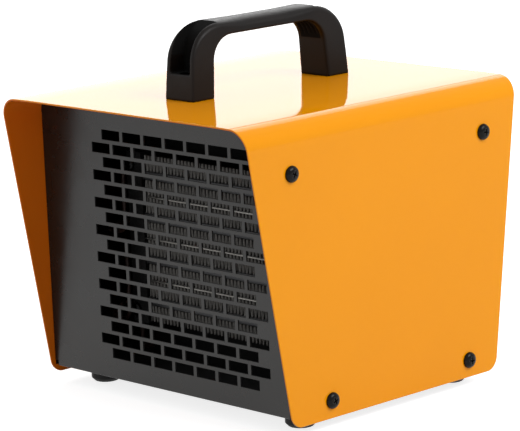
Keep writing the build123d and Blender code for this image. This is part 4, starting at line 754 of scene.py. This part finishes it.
bay_x = (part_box("selector_knob")[0].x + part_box("selector_knob")[1].x) / 2
SPINDLE_HEIGHTS, SPINDLE_HOLE = (0.132, 0.088), 0.0045
GLAND_HEIGHT, GLAND_HOLE = 0.038, 0.00815
set_plain(back)
punch_round(back, [(bay_x, rear, height) for height in SPINDLE_HEIGHTS], SPINDLE_HOLE)
punch_round(back, [(bay_x, rear, GLAND_HEIGHT)], GLAND_HOLE)
rounded(back, 0.00012, 1, 60)
settle(back, "black_enamel", ["rear_panel"])
print("rear panel: open edges", open_edges(back))

# %% [markdown]
# ## The handle
# The handle is one moulding. Seen from the side it is a bridge with two round elbows; cut across,
# it is a bar with nearly square edges at the feet and a broad crown along the grip. A box with
# rounded edges can't do that. So its side view is walked along in steps, and at each step one
# section is drawn between the outer and the inner line, with outer corners that grow rounder the
# higher it stands. Joined up, the sections make the skin, and the screw pockets and the finger
# grooves are cut out of it.

# %% Walk along the side view
def round_corner(before, corner, after, radius, steps):
    """Points of the arc that rounds a corner of a flat line."""
    to_before = (before - corner).normalized()
    to_after = (after - corner).normalized()
    half_angle = to_before.angle(to_after) / 2
    middle = corner + (to_before + to_after).normalized() * radius / math.sin(half_angle)
    start = corner + to_before * radius / math.tan(half_angle) - middle
    end = corner + to_after * radius / math.tan(half_angle) - middle
    return [middle + start.lerp(end, n / steps).normalized() * radius for n in range(steps + 1)]


def bridge_line(half, height, lean, radius, steps=14):
    """The outer or inner line of the bridge, from foot to foot, as (along, up)."""
    foot, corner = Vector((-half, 0)), Vector((-half + lean * height, height))
    rising = round_corner(foot, corner, Vector((0, height)), radius, steps)
    leg = [foot.lerp(rising[0], n / 8) for n in range(8)]
    grip = [rising[-1].lerp(Vector((0, height)), n / 6) for n in range(1, 7)]
    line = leg + rising + grip
    return line + [Vector((-along, up)) for along, up in line[-2::-1]]


low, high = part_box("handle")
HANDLE_HEIGHT = high.z - low.z
HANDLE_HALF = (high.y - low.y) / 2
HANDLE_MIDDLE = (high.y + low.y) / 2
FOOT_WIDTH = high.x - low.x
GRIP_WIDTH = 0.0208
LEG, GRIP, LEAN = 0.0165, 0.0080, 0.08
FOOT_ROUND, TOP_ROUND, GRIP_ROUND, INNER_ROUND = 0.0008, 0.0046, 0.0028, 0.0012
outer_line = bridge_line(HANDLE_HALF, HANDLE_HEIGHT, LEAN, 0.0220)
inner_line = bridge_line(HANDLE_HALF - LEG, HANDLE_HEIGHT - GRIP, LEAN, 0.0140)
print(len(outer_line), "sections, grip", round(1000 * GRIP, 1), "mm thick")


# %% Join the sections to a skin
def half_width(up):
    """Half the bar's width at a height above the casing."""
    return (FOOT_WIDTH + (GRIP_WIDTH - FOOT_WIDTH) * up / HANDLE_HEIGHT) / 2


def corner_arc(side, edge, width, depth, turn_in, steps):
    """A quarter of an ellipse: from the bar's side to its outer face, or back on the inner face."""
    for n in range(steps + 1):
        angle = math.pi / 2 * (n if turn_in else steps - n) / steps
        yield side * (edge - width * (1 - math.cos(angle))), depth * (1 - math.sin(angle))


def section(outer, inner):
    """One ring of points between the two lines: a crown on the outer edges, small rounds inside."""
    thick = (inner - outer).length
    on_grip = min(1.0, max(0.0, (0.0420 - abs(outer.x)) / 0.0320))
    crown = FOOT_ROUND + TOP_ROUND * (outer.y / HANDLE_HEIGHT) ** 4 + GRIP_ROUND * on_grip ** 2 * (3 - 2 * on_grip)
    ring = []
    for side, turn_in in ((1, True), (-1, False)):
        ring += [(x, depth / thick) for x, depth in corner_arc(
            side, half_width(outer.y), crown, min(crown, thick - INNER_ROUND - 0.0006), turn_in, 9)]
    for side, turn_in in ((-1, True), (1, False)):
        ring += [(x, 1 - depth / thick) for x, depth in corner_arc(
            side, half_width(inner.y), INNER_ROUND, INNER_ROUND, turn_in, 4)]
    return [(x, HANDLE_MIDDLE + at.x, low.z + at.y) for x, share in ring for at in [outer.lerp(inner, share)]]


points = []
faces = []
for outer, inner in zip(outer_line, inner_line):
    points += section(outer, inner)
ring_size = len(points) // len(outer_line)
for step in range(len(outer_line) - 1):
    for n in range(ring_size):
        m = (n + 1) % ring_size
        here, after = step * ring_size, (step + 1) * ring_size
        faces.append((here + n, here + m, after + m, after + n))
faces += [tuple(range(ring_size)), tuple(range(len(points) - ring_size, len(points)))]
handle = new_piece("handle_moulding", points, faces)


# %% Cut the pockets, the screw seats and the finger grooves
def outward(piece):
    """Turns every face outwards."""
    shape = bmesh.new()
    shape.from_mesh(piece.data)
    bmesh.ops.remove_doubles(shape, verts=shape.verts, dist=0.000001)
    bmesh.ops.recalc_face_normals(shape, faces=shape.faces)
    shape.to_mesh(piece.data)
    shape.free()
    return piece


def prism(name, profile, low_half, high_half):
    """A block from its (along, up) side view, with one half width at its foot and one at its top."""
    count = len(profile)
    top = max(up for along, up in profile)
    points = []
    for side in (-1, 1):
        for along, up in profile:
            points.append((side * (low_half + (high_half - low_half) * up / top), HANDLE_MIDDLE + along, low.z + up))
    faces = [tuple(range(count)), tuple(range(count, 2 * count))]
    faces += [(n, (n + 1) % count, count + (n + 1) % count, count + n) for n in range(count)]
    return new_piece(name, points, faces)


outward(handle)
POCKET_FLOOR = 0.0145
WALL = 0.0030
SEAT_RADIUS = 0.0049
GROOVES, GROOVE_PITCH, GROOVE_HALF, GROOVE_DEPTH, GROOVE_START = 4, 0.0034, 0.00075, 0.0013, 0.0230
back_wall = HANDLE_HALF - LEAN * POCKET_FLOOR - 0.0117
roof = round_corner(Vector((back_wall, POCKET_FLOOR)), Vector((back_wall - 0.0012, 0.0350)),
                    Vector((back_wall - 0.0115, HANDLE_HEIGHT + 0.001)), 0.0110, 8)
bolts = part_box("handle_screws")
bolt_half = (bolts[1].y - bolts[0].y) / 2 - 0.00425
for end in (-1, 1):
    side_view = [Vector((back_wall, POCKET_FLOOR)), *roof, Vector((back_wall - 0.0115, HANDLE_HEIGHT + 0.001)),
                 Vector((HANDLE_HALF + 0.003, HANDLE_HEIGHT + 0.001)), Vector((HANDLE_HALF + 0.003, POCKET_FLOOR))]
    cut(handle, outward(prism("pocket", [(end * along, up) for along, up in side_view],
                              half_width(0) - WALL, half_width(HANDLE_HEIGHT) - WALL)))
    ring = [(end * bolt_half + SEAT_RADIUS * math.cos(math.pi * n / 16), SEAT_RADIUS * math.sin(math.pi * n / 16))
            for n in range(32)]
    seat = [(across, HANDLE_MIDDLE + along, low.z + up) for up in (0.0083, 0.0150) for along, across in ring]
    walls = [(n, (n + 1) % 32, 32 + (n + 1) % 32, 32 + n) for n in range(32)]
    cut(handle, outward(new_piece("screw_seat", seat, [tuple(range(32)), tuple(range(32, 64))] + walls)))

groove_line = [at + Vector((0, GROOVE_DEPTH)) for at in inner_line if at.y > GROOVE_START]
groove_view = [(along, up) for along, up in groove_line] + [
    (groove_line[-1].x - GROOVE_DEPTH, GROOVE_START), (groove_line[0].x + GROOVE_DEPTH, GROOVE_START)]
for n in range(GROOVES):
    middle = (n - 1.5) * GROOVE_PITCH
    groove = prism("groove", groove_view, GROOVE_HALF, GROOVE_HALF)
    for vert in groove.data.vertices:
        vert.co.x += middle
    cut(handle, outward(groove))

# %% [markdown]
# A mould is polished, so each edge of the moulding is a little round, also where a pocket meets
# the crown. Bevels go wrong where such edges run into each other. Here the whole shape is rebuilt
# from small even squares instead, and a few steps of smoothing melt every edge by the same amount.

# %% Melt the edges
with_modifier(handle, "REMESH", mode="VOXEL", voxel_size=0.00055, use_smooth_shade=True)
with_modifier(handle, "SMOOTH", factor=0.5, iterations=4)
set_plain(handle)
for vert in handle.data.vertices:
    if vert.co.z < low.z + 0.0004:
        vert.co.z = low.z
with_modifier(handle, "DECIMATE", decimate_type="COLLAPSE", ratio=0.45)
settle(handle, "black_nylon", ["handle"])
print("handle: open edges", open_edges(handle))

# %% [markdown]
# ## The fins of the heating element
# Eight strips of thin aluminium are folded to and fro between the dark tubes and the plates where
# the units meet. The solid has them with sharp corners; the real strip is rounded at each crest and
# never quite even. A strip is a rule again: point n of the line lies on fold n / 4, low or high by
# turns. A Geometry Nodes tree places the points by their number, shifts each a hair at random,
# rounds the crests, draws the line out to the depth of the tubes and sets it on every level.

# %% A tree for folded fins
fin_tree, given = begin_tree("folded_fins", Folds="Int", Pitch="Float", Crest="Float", Height="Float",
                             Depth="Float", Uneven="Float", Seed="Int", Finish="Material")
add, get, do = tools(fin_tree)
corners = get("GeometryNodeMeshLine", {"mode": "OFFSET"}, {"Count": do("MULTIPLY", given["Folds"], 4.0)})
number = get("GeometryNodeInputIndex")
in_fold = do("MODULO", number, 4.0)
fold = do("FLOOR", do("DIVIDE", do("ADD", number, 0.5), 4.0))
upper = do("GREATER_THAN", in_fold, 1.5)
second = do("MODULO", number, 2.0)
wander = add("FunctionNodeRandomValue", {"data_type": "FLOAT"}, {"ID": number, "Seed": given["Seed"]})
fin_tree.links.new(given["Uneven"], wander.inputs[3])
fin_tree.links.new(do("MULTIPLY", given["Uneven"], -1.0), wander.inputs[2])
steps_x = do("ADD", do("MULTIPLY_ADD", upper, 0.5, fold), calc(fin_tree, "MULTIPLY", given["Folds"], -0.5))
fin_x = do("ADD", do("MULTIPLY_ADD", steps_x, given["Pitch"], wander.outputs[1]),
           do("MULTIPLY", second, given["Crest"]))
fin_z = do("MULTIPLY", do("SUBTRACT", upper, 0.5), given["Height"])
zigzag = get("GeometryNodeSetPosition", {}, {"Geometry": corners, "Position": vector(fin_tree, fin_x, 0.0, fin_z)})
line = get("GeometryNodeMeshToCurve", {}, {"Mesh": zigzag})
eased = get("GeometryNodeFilletCurve", {"mode": "POLY"}, {
    "Curve": line, "Count": 2, "Radius": do("MULTIPLY", given["Crest"], 0.52),
    "Limit Radius": True})
edge_on = get("GeometryNodeCurveToMesh", {}, {"Curve": eased})
clean = get("GeometryNodeMergeByDistance", {}, {"Geometry": edge_on, "Distance": 0.00001})
strip = get("GeometryNodeExtrudeMesh", {"mode": "EDGES"}, {
    "Mesh": clean, "Offset": vector(fin_tree, 0.0, 1.0, 0.0), "Offset Scale": given["Depth"]})
soft = get("GeometryNodeSetShadeSmooth", {}, {"Geometry": strip})
set_strips = get("GeometryNodeInstanceOnPoints", {}, {"Points": given["Geometry"], "Instance": soft})
end_tree(fin_tree, set_strips)

# %% Fold the eight strips
low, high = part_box("ptc_fins")
FIN_SHEET, FIN_HEIGHT, FIN_PITCH, FIN_CREST = 0.0002, 0.0093, 0.0028, 0.0005
UNIT_PITCH, STRIP_OFFSET = 0.0243, 0.00715       # units, and a strip's middle from its unit's
middle_z = (low.z + high.z) / 2
levels = [middle_z + (unit - 1.5) * UNIT_PITCH + side * STRIP_OFFSET for unit in range(4) for side in (-1, 1)]
fins = new_piece("fin_strips", [((low.x + high.x) / 2, low.y, level) for level in levels])
apply_tree(fins, fin_tree, Folds=38, Pitch=FIN_PITCH, Crest=FIN_CREST, Height=FIN_HEIGHT - FIN_SHEET,
           Depth=high.y - low.y, Uneven=0.00010, Seed=5, Finish=finishes["fin_aluminium"])
set_plain(fins)
with_modifier(fins, "SOLIDIFY", thickness=FIN_SHEET, offset=0.0, use_even_offset=True)
settle(fins, "fin_aluminium", ["ptc_fins"])
print("fins: open edges", open_edges(fins))

# %% [markdown]
# ## Softened solids
# The knobs, the gland and the feet have the right shape already, but their edges are as sharp
# as a knife. A real moulding has none sharper than a few tenths of a millimetre. A copy of the solid
# is joined up, its flat areas become single faces, and the edges are rounded, which is what
# catches the light along them.

# %% Soften the mouldings
def softened(node, name, width, slot, body="housing", segments=3, angle=28):
    """A copy of a solid with rounded edges that stands for it."""
    shape = bmesh.new()
    shape.from_mesh(nodes[node].data)
    bmesh.ops.remove_doubles(shape, verts=shape.verts, dist=0.000005)
    bmesh.ops.dissolve_limit(shape, angle_limit=math.radians(0.6), verts=shape.verts, edges=shape.edges)
    for face in shape.faces:
        face.smooth = True
    piece = shape_piece(name, shape)
    rounded(piece, width, segments, angle)
    return settle(piece, slot, [node], body)


softened("selector_knob", "selector_dial", 0.0005, "black_nylon", "selector")
softened("thermostat_knob", "thermostat_dial", 0.0005, "black_nylon", "thermostat")
softened("gland_body", "gland_hexagon", 0.0004, "black_nylon")
softened("gland_cap", "gland_nut", 0.0004, "black_nylon")
softened("rubber_feet", "rubber_rings", 0.0003, "black_rubber")

# %% [markdown]
# ## Screws
# Eight pan-head screws hold the casing; the others keep their solids. A head is turned on a
# lathe and then struck with a cross recess, so it is made the same way here: an outline is spun,
# and a tapered cross is cut from it. The tree then sets one head on each point,
# along that point's own direction, and turns it at random, as screws come to rest.

# %% Turn a screw head
def lathe(name, outline, steps=32):
    """Spins a closed outline of (radius, height) points about Z."""
    rings = []
    points, faces = [], []
    for radius, height in outline:
        if radius == 0:
            rings.append([len(points)])
            points.append((0, 0, height))
        else:
            rings.append(list(range(len(points), len(points) + steps)))
            turns = [2 * math.pi * n / steps for n in range(steps)]
            points += [(radius * math.cos(turn), radius * math.sin(turn), height) for turn in turns]
    for one, other in zip(rings, rings[1:]):
        for n in range(steps):
            m = (n + 1) % steps
            corners = [one[n % len(one)], one[m % len(one)], other[m % len(other)], other[n % len(other)]]
            faces.append(list(dict.fromkeys(corners)))
    piece = new_piece(name, points, faces)
    for face in piece.data.polygons:
        face.use_smooth = True
    return piece


def cross_head(name, radius, height, shank):
    """A pan head with a cross recess and a threaded shank; the head's underside is at zero."""
    outline = [(0, height), (radius * 0.30, height * 0.985), (radius * 0.55, height * 0.93),
               (radius * 0.75, height * 0.80), (radius * 0.90, height * 0.58), (radius * 0.985, height * 0.30),
               (radius, height * 0.12), (radius * 0.97, 0), (shank, 0)]
    for ridge in range(9):
        outline += [(shank, -0.0007 * ridge - 0.0001), (shank * 0.86, -0.0007 * ridge - 0.00045)]
    outline += [(shank * 0.75, -0.0069), (0, -0.0069)]
    head = lathe(name, outline)
    cross = bmesh.new()
    for turned in (0, math.pi / 2):
        bmesh.ops.create_cube(cross, size=1.0, matrix=Matrix.Rotation(turned, 4, "Z") @ Matrix.Translation(
            (0, 0, height * 0.86)) @ Matrix.Diagonal((radius * 1.06, radius * 0.21, height * 0.9, 1)))
    for vert in cross.verts:
        if vert.co.z < height * 0.8:
            vert.co.x *= 0.42
            vert.co.y *= 0.42
    cut(head, shape_piece("cross", cross), use_self=True)
    return head


# %% A tree that sets heads on their seats
screw_tree, given = begin_tree("set_screws", Head="Object", Seed="Int", Finish="Material")
add, get, do = tools(screw_tree)
head = add("GeometryNodeObjectInfo", {}, {"Object": given["Head"], "As Instance": True}).outputs["Geometry"]
out = get("GeometryNodeInputNamedAttribute", {"data_type": "FLOAT_VECTOR"}, {"Name": "out"})
facing = get("FunctionNodeAlignRotationToVector", {"axis": "Z"}, {"Vector": out})
spin = add("FunctionNodeRandomValue", {"data_type": "FLOAT"}, {"Seed": given["Seed"]})
spin.inputs[2].default_value = 0.0
spin.inputs[3].default_value = math.pi / 2
local = get("FunctionNodeAxisAngleToRotation", {}, {"Axis": (0.0, 0.0, 1.0), "Angle": spin.outputs[1]})
turned = get("FunctionNodeRotateRotation", {"rotation_space": "LOCAL"}, {"Rotation": facing, "Rotate By": local})
set_out = get("GeometryNodeInstanceOnPoints", {}, {"Points": given["Geometry"], "Instance": head, "Rotation": turned})
end_tree(screw_tree, set_out)


def set_screws(name, head, seats, slot, stands_for, seed):
    """One head on each seat, a seat being a place and the direction that it faces."""
    piece = new_piece(name, [place for place, direction in seats])
    attribute = piece.data.attributes.new("out", "FLOAT_VECTOR", "POINT")
    for n, (place, direction) in enumerate(seats):
        attribute.data[n].vector = direction
    apply_tree(piece, screw_tree, Head=head, Seed=seed, Finish=finishes[slot])
    return settle(piece, slot, stands_for)


# %% Set the casing screws
front_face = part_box("front_chassis")[0].y
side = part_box("outer_casing")[1].x
UPPER_INSET, LOWER_FRONT, LOWER_REAR = 0.0041, 0.028, 0.02065       # from the panels' outer faces
UPPER_LEVEL, LOWER_LEVEL = 0.144, 0.016                             # above the floor
HEAD_RADIUS, HEAD_HEIGHT, SHANK_RADIUS = 0.0046, 0.0028, 0.0020
casing_seats = [(front_face + UPPER_INSET, UPPER_LEVEL), (base_end - UPPER_INSET, UPPER_LEVEL),
                (front_face + LOWER_FRONT, LOWER_LEVEL), (base_end - LOWER_REAR, LOWER_LEVEL)]
head = cross_head("pan_head", HEAD_RADIUS, HEAD_HEIGHT, SHANK_RADIUS)
set_screws("casing_screw_heads", head,
           [(Vector((k * side, y, z)), Vector((k, 0, 0))) for y, z in casing_seats for k in (-1, 1)],
           "black_screw_paint", ["casing_screws"], 3)
bpy.data.objects.remove(head)
